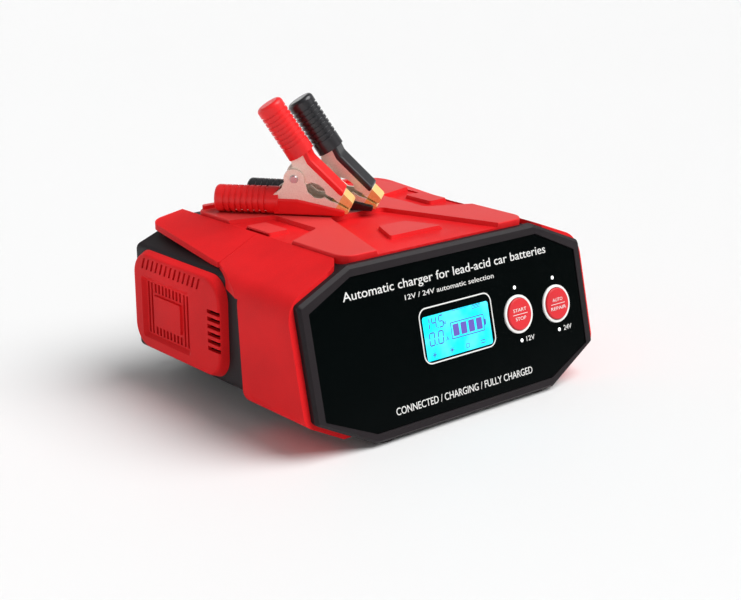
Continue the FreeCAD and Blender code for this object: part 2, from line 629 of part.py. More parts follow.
def cheek_region(inset):
    """Space a right-hand cheek may fill, drawn in by a distance on every free edge."""
    inner = TOP_HALF + inset
    back = SEAM_Y - FIT - inset
    low_front = FRONT_Y - 5
    plan = [V(inner, low_front, CHEEK_LOW_END + inset), V(BIG, low_front, CHEEK_LOW_END + inset),
            V(BIG, CHEEK_SIDE_Y - inset, CHEEK_LOW_END + inset),
            V(BODY_WIDTH / 2, CHEEK_SIDE_Y - inset, CHEEK_LOW_END + inset),
            V(SEAM_END, back - CHEEK_SEAM_TAPER, CHEEK_LOW_END + inset),
            V(inner, back, CHEEK_LOW_END + inset)]
    upper = prism(plan, [0, 0, 0, 6.0, 2.0, 0], V(0, 0, BIG))
    upper = upper.common(box((0, -BIG, SIDE_HIGH - 6), (BIG, BIG, BIG)))
    low_back = CHEEK_SIDE_Y - 4.0 - inset
    side = [V(HOUSING_HALF - 20, low_front, CHEEK_LOW_END + inset),
            V(HOUSING_HALF - 20, low_back - 3, CHEEK_LOW_END + inset),
            V(HOUSING_HALF - 20, low_back, SIDE_LOW + 4),
            V(HOUSING_HALF - 20, CHEEK_SIDE_Y - inset, SIDE_HIGH),
            V(HOUSING_HALF - 20, low_front, SIDE_HIGH)]
    lower = prism(side, [0, 7.0, 5.0, 0, 0], V(BIG, 0, 0))
    return joined(upper, lower).common(behind_front(CHEEK_FRONT_SET + inset))


def cheek():
    """Right-hand red cheek, hollow behind its skin."""
    rounding = [0, CHEEK_LOW_ROUND, CHEEK_ROUND, 0, 0, CHEEK_ROUND, CHEEK_LOW_ROUND, 0]
    outer = prism(symmetric(cover_corners(0), FRONT_Y - 5), rounding, V(0, BODY_DEPTH, 0))
    corner_cut = front_corner_cut()
    skin = outer.common(cheek_region(0)).cut(corner_cut).cut(body_prism(FIT, FRONT_Y - 9, BACK_Y + 9))
    soft = [0, CHEEK_LOW_ROUND - 3, CHEEK_ROUND - 3, 0, 0, CHEEK_ROUND - 3, CHEEK_LOW_ROUND - 3, 0]
    core = prism(symmetric(cover_corners(CHEEK_WALL), FRONT_Y - 5), soft, V(0, BODY_DEPTH, 0))
    core = core.common(cheek_region(3.0))
    core = core.common(box((HOUSING_HALF - 8, -BIG, SIDE_LOW), (BIG, BIG, SIDE_HIGH + 8)))
    return skin.cut(core)


def front_corner_cut():
    """Wedge that rounds the cheek's front upper inner corner."""
    r = CHEEK_CORNER
    y = LID_FRONT
    points = [V(TOP_HALF - 2, y - 30, DECK - 10), V(TOP_HALF + r + 6, y - 30, DECK - 10),
              V(TOP_HALF + r, y - 1.0, DECK - 10), V(TOP_HALF + r * 0.45, y + 1.2, DECK - 10),
              V(TOP_HALF + 1.2, y + r * 0.5, DECK - 10), V(TOP_HALF - 2, y + r, DECK - 10)]
    return prism(points, [0, 0, 2.0, 3.0, 3.0, 0], V(0, 0, 40))


def wing_section(y, outer_x, outer_z):
    """Cross-section of the right-hand wing, from the lid's side to its outer edge."""
    inner_z = DECK + LID_BASE + 0.7
    beyond = 2.0 * (inner_z - outer_z) / (outer_x - TOP_HALF)
    return [V(TOP_HALF, y, inner_z), V(outer_x + 2, y, outer_z - beyond),
            V(outer_x + 2, y, outer_z - beyond - WING_THICK), V(TOP_HALF, y, DECK - 6)]


def wing():
    """Right-hand red wing behind the cheek, standing out over the slope towards the back."""
    end = BACK_Y - WING_BACK_SET
    start = SEAM_Y + FIT - CHEEK_SEAM_TAPER
    back_out = SEAM_END - WING_NARROWING
    top = DECK + LID_BASE + 0.7
    seam_z = top - (SEAM_END - TOP_HALF) * math.tan(TOP_ANGLE)
    plan = [V(TOP_HALF, SEAM_Y + FIT, DECK - 30), V(SEAM_END, start, DECK - 30),
            V(back_out, end, DECK - 30), V(TOP_HALF, end, DECK - 30)]
    region = prism(plan, [0, 1.5, 8.0, 0], V(0, 0, 60))
    outer = loft(wing_section(start, SEAM_END, seam_z), wing_section(end, back_out, top - WING_BACK_DROP),
                 0)
    return outer.common(region).cut(body_prism(FIT, FRONT_Y - 9, BACK_Y + 9))


def lid_outline(inset, z):
    """Corners of the lid drawn in by a distance."""
    x = LID_HALF - inset
    return [V(-x, LID_FRONT + inset, z), V(x, LID_FRONT + inset, z), V(x, LID_BACK - inset, z),
            V(-x, LID_BACK - inset, z)]


def bay(points):
    """Cutter for a low bay with leaning walls: points are listed inwards from the open edge."""
    centre = points[0] + (points[-1] - points[0]) * 0.5
    low = [V(p.x, p.y, LID_FLOOR) for p in points]
    high = []
    for p in points:
        away = V(p.x - centre.x, p.y - centre.y, 0).normalize() * BAY_SLOPE
        high.append(V(p.x + away.x, p.y + away.y, LID_TOP + 0.01))
    return loft(low, high, [0] + [3.0] * (len(points) - 2) + [0])


def island(points):
    """Raised block in a bay with leaning walls."""
    centre = points[0] + (points[2] - points[0]) * 0.5
    low = [V(p.x, p.y, LID_FLOOR - 0.5) for p in points]
    high = [V(p.x - (p.x - centre.x) * 0.09, p.y - (p.y - centre.y) * 0.09, LID_TOP - 0.4)
            for p in points]
    return loft(low, high, 1.2)


def lid_bays():
    """Cutters and islands of the four bays: front, back and the two sides."""
    span = LID_BACK - LID_FRONT
    out = 4.0
    front = [V(-44.6, LID_FRONT - out, 0), V(-18.8, LID_FRONT + span * 0.51, 0),
             V(18.8, LID_FRONT + span * 0.51, 0),
             V(44.6, LID_FRONT - out, 0)]
    back = [V(44.6, LID_BACK + out, 0), V(24.0, LID_BACK - span * 0.23, 0),
            V(-24.0, LID_BACK - span * 0.23, 0),
            V(-44.6, LID_BACK + out, 0)]
    side = [V(LID_HALF + out, LID_FRONT + span * 0.305, 0), V(40.0, LID_FRONT + span * 0.414, 0),
            V(40.0, LID_FRONT + span * 0.687, 0), V(LID_HALF + out, LID_FRONT + span * 0.745, 0)]
    cutters = [bay(front), bay(back), bay(side), mirrored(bay(side))]
    front_block = [V(-20, LID_FRONT + span * 0.128, 0), V(20, LID_FRONT + span * 0.128, 0),
                   V(10, LID_FRONT + span * 0.292, 0), V(-10, LID_FRONT + span * 0.292, 0)]
    back_block = [V(-12, LID_BACK - span * 0.17, 0), V(12, LID_BACK - span * 0.17, 0),
                  V(20, LID_BACK - span * 0.07, 0),
                  V(-20, LID_BACK - span * 0.07, 0)]
    side_block = [V(51.0, LID_FRONT + span * 0.47, 0), V(LID_HALF - 0.6, LID_FRONT + span * 0.47, 0),
                  V(LID_HALF - 0.6, LID_FRONT + span * 0.64, 0), V(51.0, LID_FRONT + span * 0.64, 0)]
    blocks = [island(front_block), island(back_block), island(side_block), mirrored(island(side_block))]
    return cutters, blocks


def top_cover():
    """Red lid with a cross-shaped raised deck, four low bays, a rear rim and four pins."""
    body = prism(lid_outline(0, DECK), LID_CORNER, V(0, 0, LID_TOP - DECK))
    body = body.makeFillet(LID_EDGE_ROUND, [e for e in body.Edges if e.BoundBox.ZMin > LID_TOP - 0.01])
    cutters, blocks = lid_bays()
    body = joined(without(body, *cutters), *blocks)
    span = LID_BACK - LID_FRONT
    slot_y = LID_FRONT + span * 0.48
    slot = box((LID_HALF - 3.4, slot_y, LID_FLOOR - 0.8),
               (LID_HALF + 5, slot_y + span * 0.15, LID_TOP - 1.2))
    rim = prism(rear_rim_points(), [0, 0, 3, 3], V(0, 0, LID_TOP + 2.0 - LID_FLOOR))
    pins = [rod(2.5, spot + V(0, 0, DECK - 5), Z_AXIS * 6) for spot in lid_pin_spots()]
    return joined(without(body, slot, mirrored(slot)), rim, *pins)


def rear_rim_points():
    """Outline of the raised rim along the lid's rear edge."""
    x = LID_HALF - 4
    return [V(-x, LID_BACK - 4.5, LID_FLOOR), V(x, LID_BACK - 4.5, LID_FLOOR),
            V(x, LID_BACK - 0.5, LID_FLOOR),
            V(-x, LID_BACK - 0.5, LID_FLOOR)]


def yz_outline(x, limits):
    """Rectangle in the plane at x."""
    y0, y1, z0, z1 = limits
    return [V(x, y0, z0), V(x, y1, z0), V(x, y1, z1), V(x, y0, z1)]


def grille():
    """Right-hand side grille: pillow-shaped panel with a framed middle and rows of air slots."""
    x0 = HOUSING_HALF + 0.05
    x1 = HOUSING_HALF + GRILLE_PROUD
    d = GRILLE_DRAFT
    outer = loft(yz_outline(x0, grille_limits()), yz_outline(x1, grille_limits(d, d)), GRILLE_CORNER)
    outer = outer.makeFillet(GRILLE_EDGE, [e for e in outer.Edges if e.BoundBox.XMin > x1 - 0.01])
    hollow = loft(yz_outline(x0 - 1, grille_limits(3, 3)),
                  yz_outline(x1 - GRILLE_WALL, grille_limits(6, 6)), 9.0)
    y0, y1, z0, z1 = grille_limits()
    frame = [y0 + (y1 - y0) * 0.34, y0 + (y1 - y0) * 0.89, z0 + (z1 - z0) * 0.13, z0 + (z1 - z0) * 0.755]
    core = [y0 + (y1 - y0) * 0.455, y0 + (y1 - y0) * 0.775, z0 + (z1 - z0) * 0.277,
            z0 + (z1 - z0) * 0.597]
    recess = loft(yz_outline(x1 - 2.0, inset_limits(frame, 2.2)), yz_outline(x1 + 0.1, frame), 2.0)
    pad = loft(yz_outline(x1 - 4.4, core), yz_outline(x1 - 0.8, inset_limits(core, 0.8)), 0.8)
    floor = prism(yz_outline(x1 - 4.2, inset_limits(frame, -1.4)), 1.0, V(2.4, 0, 0))
    body = joined(without(outer, hollow), floor)
    body = joined(without(body, recess), pad)
    return without(body, *grille_slots(frame, core))


def inset_limits(limits, inset):
    """Limits of a rectangle drawn in by a distance."""
    return [limits[0] + inset, limits[1] - inset, limits[2] + inset, limits[3] - inset]


def grille_slots(frame, core):
    """Cutters for the slots of the right-hand side grille."""
    y0, y1, z0, z1 = grille_limits()
    length, height = y1 - y0, z1 - z0
    low_x, high_x = HOUSING_HALF - 1, HOUSING_HALF + GRILLE_PROUD + 2
    cuts = []
    for i in range(13):
        y = y0 + length * (0.235 + 0.62 * i / 12)
        z = z0 + height * 0.885
        slant = [(0.6, -3.2), (2.3, -3.2), (-0.4, 3.2), (-2.1, 3.2)]
        cuts.append(prism([V(low_x, y + dy, z + dz) for dy, dz in slant], 0, V(high_x - low_x, 0, 0)))
    for i in range(6):
        z = z0 + height * (0.3 + 0.36 * i / 5)
        cuts.append(box((low_x, y0 + length * 0.02, z - 1.1), (high_x, y0 + length * 0.145, z + 1.1)))
    for i in range(8):
        y = core[0] + (core[1] - core[0]) * (i + 0.5) / 8
        cuts.append(box((low_x, y - 0.9, core[3] + 0.8), (high_x, y + 0.9, frame[3] - 3.0)))
        cuts.append(box((low_x, y - 0.9, frame[2] + 3.0), (high_x, y + 0.9, core[2] - 0.8)))
    for i in range(2):
        for y in (core[0] - 2.2 - i * 3.2, core[1] + 2.2 + i * 3.2):
            cuts.append(box((low_x, y - 0.75, frame[2] + 3.0), (high_x, y + 0.75, frame[3] - 3.0)))
    return cuts


# ---- inside ----
def main_board():
    """Main circuit board with mounting holes."""
    body = box((-MAIN_BOARD_HALF, BOARD_FRONT, MAIN_BOARD_Z), (MAIN_BOARD_HALF, BOARD_BACK, MAIN_TOP))
    return without(body, *[rod(SCREW_RADIUS, spot, Z_AXIS * 30) for spot in BOARD_SPOTS])


def board_screws():
    """Screws that hold the main board."""
    return Part.makeCompound([joined(rod(2.8, s + V(0, 0, MAIN_TOP), Z_AXIS * 1.8),
                                     rod(SCREW_RADIUS - 0.3, s + V(0, 0, 8), Z_AXIS * (MAIN_TOP - 7)))
                              for s in BOARD_SPOTS])


def transformer():
    """Laminated core with a middle leg, and the winding round that leg."""
    x, y, z = -34.0, (BOARD_FRONT + BOARD_BACK) / 2 + 4, MAIN_TOP
    core = box((x - 25, y - 10, z + 4), (x + 25, y + 10, z + 44))
    windows = [box((x + sx * 13 - 5.5, y - 11, z + 12), (x + sx * 13 + 5.5, y + 11, z + 36))
               for sx in (-1, 1)]
    rails = [box((x - 25, y - 8, z), (x - 20, y + 8, z + 4)),
             box((x + 20, y - 8, z), (x + 25, y + 8, z + 4))]
    core = without(joined(core, *rails), *windows)
    around = [V(x + sx * 18, y + sy * 18, z + 12.5) for sx, sy in ((-1, -1), (1, -1), (1, 1), (-1, 1))]
    coil = prism(around, 5.0, V(0, 0, 23)).cut(core)
    return core, coil


def capacitor(x, y, radius, height):
    """Upright can capacitor with a crimp ring."""
    can = rod(radius, V(x, y, MAIN_TOP), Z_AXIS * height)
    groove = rod(radius + 1, V(x, y, MAIN_TOP + 3.5), Z_AXIS * 1.2)
    groove = groove.cut(rod(radius - 0.7, V(x, y, MAIN_TOP), Z_AXIS * 10))
    return without(can, groove)


def heatsink():
    """Finned aluminium heat sink on the board."""
    x, y0, y1 = 10.0, BOARD_FRONT + 6, BOARD_FRONT + 46
    wall = box((x, y0, MAIN_TOP), (x + 3, y1, MAIN_TOP + 34))
    fins = [box((x + 2.9, y0 + i * 6.0, MAIN_TOP + 2), (x + 15, y0 + 1.6 + i * 6.0, MAIN_TOP + 34))
            for i in range(7)]
    return joined(wall, *fins)


def power_transistors():
    """Three power transistors against the heat sink."""
    made = []
    for i in range(3):
        y = BOARD_FRONT + 12 + i * 12
        body = box((5.4, y - 5, MAIN_TOP + 8), (10.0, y + 5, MAIN_TOP + 23))
        legs = [box((7.2, y - 3 + j * 2.5, MAIN_TOP), (7.9, y - 2.2 + j * 2.5, MAIN_TOP + 8.5))
                for j in range(3)]
        made.append(joined(body, *legs))
    return Part.makeCompound(made)


def output_choke():
    """Ring-core choke standing on the board."""
    centre = V(52, BOARD_FRONT + 26, MAIN_TOP + 13)
    ring = Part.makeTorus(8.6, 4.4, centre, X_AXIS)
    return joined(ring, box((48, centre.y - 6, MAIN_TOP), (56, centre.y + 6, MAIN_TOP + 1.6)))


def fuse():
    """Glass fuse in its two clips."""
    x, y, z = -58.0, BOARD_FRONT + 10, MAIN_TOP + 5
    tube = rod(2.6, V(x, y, z), Y_AXIS * 20)
    clips = [box((x - 3.4, y + d, MAIN_TOP), (x + 3.4, y + d + 4, z + 1)) for d in (0, 16)]
    return joined(tube, *clips)


def ribbon_cable():
    """Flat lead from the control board down to the main board."""
    y_top = MIDDLE_Y + 14.5
    path = [V(0, y_top, 40), V(0, BOARD_FRONT - 8, 36), V(0, BOARD_FRONT + 4, 24),
            V(0, BOARD_FRONT + 4, MAIN_TOP)]
    pieces = []
    for a, b in zip(path[:-1], path[1:]):
        run = b - a
        side = X_AXIS.cross(run).normalize() * 0.4
        flat = [a + side, b + side, b - side, a - side]
        pieces.append(prism([V(-9, p.y, p.z) for p in flat], 0, V(18, 0, 0)))
    joints = [rod(0.4, V(-9, p.y, p.z), V(18, 0, 0)) for p in path[1:-1]]
    plug = box((-10, BOARD_FRONT + 1, MAIN_TOP), (10, BOARD_FRONT + 7, MAIN_TOP + 6))
    socket = box((-10, y_top - 4.0, 37), (10, y_top + 0.2, 43))
    return joined(*pieces, *joints, plug, socket.cut(behind_front(0, -BOARD_FACE + BOARD_THICK)))


def fan_screw_spots(y):
    """Fan screw centres in the plane at y."""
    half = FAN_SIZE / 2 - 4.5
    return [V(sx * half, y, FAN_Z + sz * half) for sx in (-1, 1) for sz in (-1, 1)]


def fan_frame():
    """Square fan frame with a round duct, a motor seat and four struts."""
    half = FAN_SIZE / 2
    y0, y1 = COVER_FRONT - FAN_DEPTH, COVER_FRONT
    outline = [V(-half, y0, FAN_Z - half), V(half, y0, FAN_Z - half), V(half, y0, FAN_Z + half),
               V(-half, y0, FAN_Z + half)]
    body = prism(outline, 4.0, V(0, y1 - y0, 0)).cut(rod(FAN_BORE, V(0, y0 - 1, FAN_Z), Y_AXIS * 30))
    seat = rod(FAN_HUB, V(0, y1 - 3, FAN_Z), Y_AXIS * 3)
    struts = [box((-1.5, y1 - 2.5, FAN_Z), (1.5, y1, FAN_Z + FAN_BORE + 1)) for _ in range(4)]
    for i, strut in enumerate(struts):
        strut.rotate(V(0, y1, FAN_Z), Y_AXIS, 45 + 90 * i)
    pin = rod(1.5, V(0, y1 - 12, FAN_Z), Y_AXIS * 10)
    holes = [rod(SCREW_RADIUS, spot - Y_AXIS * 1, Y_AXIS * 30) for spot in fan_screw_spots(y0)]
    return without(joined(body, seat, *struts, pin), *holes)


def fan_screws():
    """Screws through the fan frame into the back plate."""
    return Part.makeCompound([screw(spot, Y_AXIS, FAN_DEPTH + 2.0)
                              for spot in fan_screw_spots(COVER_FRONT - FAN_DEPTH - 2)])


def fan_rotor():
    """Hub with a bored boss and slanted blades."""
    y0, y1 = COVER_FRONT - FAN_DEPTH + 1.0, COVER_FRONT - 3.6
    hub = rod(FAN_HUB, V(0, y0, FAN_Z), Y_AXIS * (y1 - y0))
    cup = rod(FAN_HUB - 1.4, V(0, y0 + 1.6, FAN_Z), Y_AXIS * 20)
    boss = rod(3.5, V(0, y0, FAN_Z), Y_AXIS * (y1 - y0))
    bore = rod(1.5 + RUNNING, V(0, COVER_FRONT - 12.4, FAN_Z), Y_AXIS * 20)
    blades = []
    for i in range(FAN_BLADES):
        blade = Part.makeBox(1.2, 14.5, FAN_TIP, V(-0.6, -7.25, 0))
        blade.rotate(V(0, 0, 0), Z_AXIS, 52)
        blade.translate(V(0, (y0 + y1) / 2, FAN_Z))
        blade.rotate(V(0, 0, FAN_Z), Y_AXIS, 360.0 * i / FAN_BLADES)
        blades.append(blade)
    span = rod(FAN_TIP, V(0, y0 + 0.3, FAN_Z), Y_AXIS * (y1 - y0 - 0.6))
    span = span.cut(rod(FAN_HUB - 1.2, V(0, y0 - 1, FAN_Z), Y_AXIS * 30))
    return joined(without(hub, cup), without(boss, bore), *[blade.common(span) for blade in blades])


# ---- clamps ----
def jaw_point(a, b):
    """Point in the clamp plane from its distance along the closed jaws and outwards from them."""
    return V(a, 0, b)


def handle_point(t, n):
    """Point in the clamp plane from its distance along the handle and outwards from the pivot."""
    return V(-t * math.cos(JAW) + n * math.sin(JAW), 0, t * math.sin(JAW) + n * math.cos(JAW))


def back_line(lower, shift=0.0):
    """The metal's outer edge from the tip to the handle's end, moved outwards by a shift."""
    if lower:
        points = [jaw_point(34.0, 3.4), handle_point(0.5, LOWER_OFFSET + 4.7),
                  handle_point(12, LOWER_OFFSET + 4.7)]
        points.append(handle_point(HANDLE_METAL_END, LOWER_OFFSET + 4.7))
    else:
        points = [jaw_point(34.0, 4.4), jaw_point(3.0, 13.6), handle_point(12, UPPER_OFFSET + 4.4)]
        points.append(handle_point(HANDLE_METAL_END, UPPER_OFFSET + 4.4))
    out = V(0.3, 0, 1).normalize() * shift
    return [p + out for p in points]


def outline(lower):
    """The whole side outline of a jaw with its tip, in jaw coordinates with outwards as Z."""
    tip = [jaw_point(19.5, 0.8), jaw_point(24, 1.0), jaw_point(27, 0.25), jaw_point(34.2, 0.25),
           jaw_point(JAW_LENGTH, 1.3), jaw_point(JAW_LENGTH - 0.2, 2.9 if lower else 3.6)]
    if lower:
        inner = [handle_point(HANDLE_METAL_END, LOWER_OFFSET - 4), handle_point(14, LOWER_OFFSET - 4),
                 handle_point(7.5, 6)]
        arch = [jaw_point(8.0, 0.5), jaw_point(10.2, 3.0), jaw_point(15.2, 4.0), jaw_point(18.4, 2.4)]
    else:
        inner = [handle_point(HANDLE_METAL_END, UPPER_OFFSET - 4.2), handle_point(12, 5),
                 handle_point(6.2, 3)]
        arch = [jaw_point(7.6, 0.4), jaw_point(9.2, 2.8), jaw_point(13.2, 3.9), jaw_point(17.4, 3.2)]
    ear = [jaw_point(-4.6, -2.6), jaw_point(0, -5.2), jaw_point(4.8, -2.2)]
    return tip + back_line(lower) + inner + ear + arch


def slab(points, half_width, radii=0.0):
    """Solid from an outline in the clamp plane, as wide as twice half_width."""
    shifted = [p - Y_AXIS * half_width for p in points]
    return prism(shifted, radii, Y_AXIS * (2 * half_width))


def half_width(lower):
    """Outer half width of a jaw's channel."""
    return LOWER_HALF_WIDTH if lower else UPPER_HALF_WIDTH


def full_jaw(lower, width):
    """Solid jaw outline with a round ear."""
    ear = rod(5.8, V(0, -width, 0), Y_AXIS * (2 * width))
    return joined(slab(outline(lower), width), ear)


def jaw(lower):
    """Folded sheet jaw: two side plates and a back, open inwards."""
    width = half_width(lower)
    inner = back_line(lower, -SHEET * 1.12)
    room = [inner[0] + V(20, 0, -6)] + inner + [inner[-1] + handle_point(12, 0)]
    room += [jaw_point(-90, -60), jaw_point(90, -60)]
    body = full_jaw(lower, width).cut(slab(room, width - SHEET))
    body = body.cut(slab([jaw_point(CAP_FROM, -20), jaw_point(90, -20), jaw_point(90, 40),
                          jaw_point(CAP_FROM, 40)], 20))
    radius = RIVET_RADIUS if lower else RIVET_RADIUS + RUNNING
    return body.cut(rod(radius, V(0, -20, 0), Y_AXIS * 40))


def teeth(lower):
    """Toothed tip with a tongue inside the jaw's channel."""
    width = half_width(lower)
    ahead = slab([jaw_point(CAP_FROM, -20), jaw_point(90, -20), jaw_point(90, 40),
                  jaw_point(CAP_FROM, 40)], 20)
    cap = slab(outline(lower), width).common(ahead)
    tongue = slab([jaw_point(24.5, 1.4), jaw_point(31, 1.0), jaw_point(31, 2.6), jaw_point(24.5, 4.0)],
                  width - SHEET - 0.02)
    notches = []
    for i in range(5):
        a = CAP_FROM + 0.9 + i * 1.2
        notches.append(slab([jaw_point(a - 0.4, 0), jaw_point(a + 0.4, 0), jaw_point(a, 0.95)], 20))
    return without(joined(cap, tongue), *notches)


def grip(lower):
    """Plastic grip: a ringed tube on the handle and a strip along the back of the jaw."""
    width = half_width(lower)
    offset = LOWER_OFFSET if lower else UPPER_OFFSET
    end = GRIP_END if lower else UPPER_GRIP_END
    start, run = handle_point(GRIP_START, offset), handle_point(end - GRIP_START, 0)
    tube = rod(GRIP_RADIUS, start, run)
    end_rims = [e for e in tube.Edges if e.Closed and e.CenterOfMass.distanceToPoint(start + run) < 0.1]
    tube = tube.makeFillet(2.4, end_rims)
    pitch = (end - GRIP_START - 13.5) / (GRIP_RINGS - 1)
    for i in range(GRIP_RINGS):
        base = handle_point(GRIP_START + 7.0 + i * pitch, offset)
        ring = rod(GRIP_RADIUS + 1, base, handle_point(RING_WIDTH, 0))
        tube = tube.cut(ring.cut(rod(GRIP_RADIUS - RING_GROOVE, base, handle_point(RING_WIDTH, 0))))
    flap = 8.0 if lower else 2.2
    outer = back_line(lower, STRIP_COVER)[:3]
    inner = back_line(lower, -flap)[:3]
    if lower:
        inner[0] = jaw_point(33.0, 1.5)
    else:
        outer[0], inner[0] = jaw_point(STRIP_END, 7.6), jaw_point(STRIP_END - 0.6, 4.2)
    strip = slab(outer + inner[::-1], width + STRIP_SIDE, [1.5, 6, 0, 0, 3, 1.0])
    side_edges = [e for e in strip.Edges
                  if abs(e.BoundBox.YMax - e.BoundBox.YMin) < 0.01 and on_outer(e, outer)]
    strip = strip.makeFillet(1.0, side_edges)
    body = joined(tube, strip).cut(full_jaw(lower, width))
    if not lower:
        return body
    return body.cut(rod(CABLE_RADIUS, handle_point(HANDLE_METAL_END - 1, offset), handle_point(20, 0)))


def on_outer(edge, outer):
    """True when an edge follows the outer line of the strip."""
    middle = edge.valueAt((edge.FirstParameter + edge.LastParameter) / 2)
    flat = V(middle.x, 0, middle.z)
    for a, b in zip(outer[:-1], outer[1:]):
        if Part.LineSegment(a, b).toShape().distToShape(Part.Vertex(flat))[0] < 0.5:
            return True
    return False


def flipped(shape):
    """Mirrors a jaw part to the lower side of the closed jaws."""
    return shape.mirror(V(0, 0, 0), Z_AXIS)


def rivet():
    """Rivet with two heads."""
    reach = LOWER_HALF_WIDTH
    shank = rod(RIVET_RADIUS, V(0, -reach, 0), Y_AXIS * (2 * reach))
    heads = [Part.makeCone(RIVET_HEAD, 1.9, 1.1, V(0, reach, 0), Y_AXIS),
             Part.makeCone(1.9, RIVET_HEAD, 1.1, V(0, -reach - 1.1, 0), Y_AXIS)]
    return joined(shank, *heads)


def spring():
    """Torsion spring round the rivet with a leg against the back of each handle."""
    lean_up, lean_low = spring_lean(False), spring_lean(True)
    turns = SPRING_TURNS + (math.pi - lean_up - lean_low) / (2 * math.pi)
    pitch = 2 * SPRING_WIRE + 0.12
    width = pitch * turns
    profile = Part.Wire(Part.makeCircle(SPRING_WIRE, V(SPRING_RADIUS, 0, 0), Y_AXIS))
    winding = Part.Wire(Part.makeHelix(pitch, width, SPRING_RADIUS).Edges)
    coil = winding.makePipeShell([profile], True, True)
    coil.rotate(V(0, 0, 0), Z_AXIS, math.degrees(lean_up) - 90)
    coil.rotate(V(0, 0, 0), X_AXIS, -90)
    coil.translate(V(0, -width / 2, 0))
    upper = spring_leg(False, lean_up, -width / 2)
    lower = flipped(spring_leg(True, lean_low, width / 2))
    return joined(coil, upper, lower)


def spring_lean(lower):
    """Angle between a spring leg and the closed jaws."""
    reach, depth = spring_reach(lower)
    return JAW + math.atan2(depth - SPRING_RADIUS, reach)


def spring_reach(lower):
    """Where a spring leg ends: along the handle, and outwards to just inside its back."""
    room = SHEET * 1.12 + SPRING_WIRE + 0.05
    return (24.0, LOWER_OFFSET + 4.7 - room) if lower else (20.0, UPPER_OFFSET + 4.4 - room)


def spring_leg(lower, lean, y):
    """Straight leg that leaves the coil at a tangent, drawn on the outward side."""
    start = V(SPRING_RADIUS * math.sin(lean), y, SPRING_RADIUS * math.cos(lean))
    reach, depth = spring_reach(lower)
    along = V(-math.cos(lean), 0, math.sin(lean)) * (math.hypot(reach, depth - SPRING_RADIUS) * 0.97)
    return joined(Part.makeSphere(SPRING_WIRE, start), rod(SPRING_WIRE, start, along))


def clamp(name, x, y, heading):
    """All pieces of one clamp, leaning and standing on the lid."""
    pieces = {
        "lower_jaw": flipped(jaw(True)),
        "lower_grip": flipped(grip(True)),
        "lower_teeth": flipped(teeth(True)),
        "upper_jaw": jaw(False),
        "upper_grip": grip(False),
        "upper_teeth": teeth(False),
        "rivet": rivet(),
        "spring": spring(),
    }
    placed = {}
    for piece, shape in pieces.items():
        placed[name + "_" + piece] = in_clamp(shape, x, y, heading)
    return placed


def in_clamp(shape, x, y, heading):
    """Turns a piece from jaw coordinates to its place on the lid."""
    moved = shape.copy()
    moved.rotate(V(0, 0, 0), Y_AXIS, JAW_ANGLE)
    moved.translate(V(PIVOT_S, 0, PIVOT_H))
    moved.rotate(V(0, 0, GRIP_RADIUS), X_AXIS, CLAMP_LEAN)
    moved.rotate(V(0, 0, 0), Z_AXIS, heading)
    moved.translate(V(x, y, LID_TOP + CLAMP_REST))
    return moved


# ---- everything ----
def build():
    """Every piece by its node name."""
    core, coil = transformer()
    right_cheek, right_wing, right_grille = cheek(), wing(), grille()
    nodes = {
        "base_tray": base_tray(), "housing": housing(), "rear_cover": rear_cover(), "feet": feet(),
        "base_screws": base_screws(), "rear_screws": rear_screws(), "mains_gland": gland(-1),
        "output_gland": gland(1),
        "front_bezel": front_bezel(), "front_panel": front_panel(), "display_frame": display_frame(),
        "display_window": display_window(), "display_module": display_module(),
        "left_button_ring": button_ring(BUTTON_X[0]), "right_button_ring": button_ring(BUTTON_X[1]),
        "left_button": button(BUTTON_X[0]), "right_button": button(BUTTON_X[1]),
        "tact_switches": tact_switches(), "light_pipes": light_pipes(), "control_board": control_board(),
        "control_screws": control_screws(), "top_cover": top_cover(),
        "right_cheek": right_cheek, "left_cheek": mirrored(right_cheek), "right_wing": right_wing,
        "left_wing": mirrored(right_wing), "right_grille": right_grille,
        "left_grille": mirrored(right_grille),
        "main_board": main_board(), "board_screws": board_screws(), "transformer_core": core,
        "transformer_winding": coil, "input_capacitor": capacitor(35, BOARD_FRONT + 62, 11, 32),
        "output_capacitors": Part.makeCompound([capacitor(x, BOARD_BACK - 12, 6.3, 25)
                                                for x in (-52, -37, -22)]),
        "heatsink": heatsink(), "power_transistors": power_transistors(), "output_choke": output_choke(),
        "fuse": fuse(), "ribbon_cable": ribbon_cable(), "fan_frame": fan_frame(),
        "fan_screws": fan_screws(),
        "fan_rotor": fan_rotor(),
    }
    for place in CLAMP_PLACES:
        nodes.update(clamp(*place))
    return nodes


def main():
    """Writes every node as its own file."""
    os.makedirs("parts", exist_ok=True)
    for name, shape in build().items():
        shape.exportStep("parts/" + name + ".step")


main()
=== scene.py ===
"""Looks of a car battery charger with two spring clamps on its lid, drawn round its fixed CAD frame."""

import json
import math

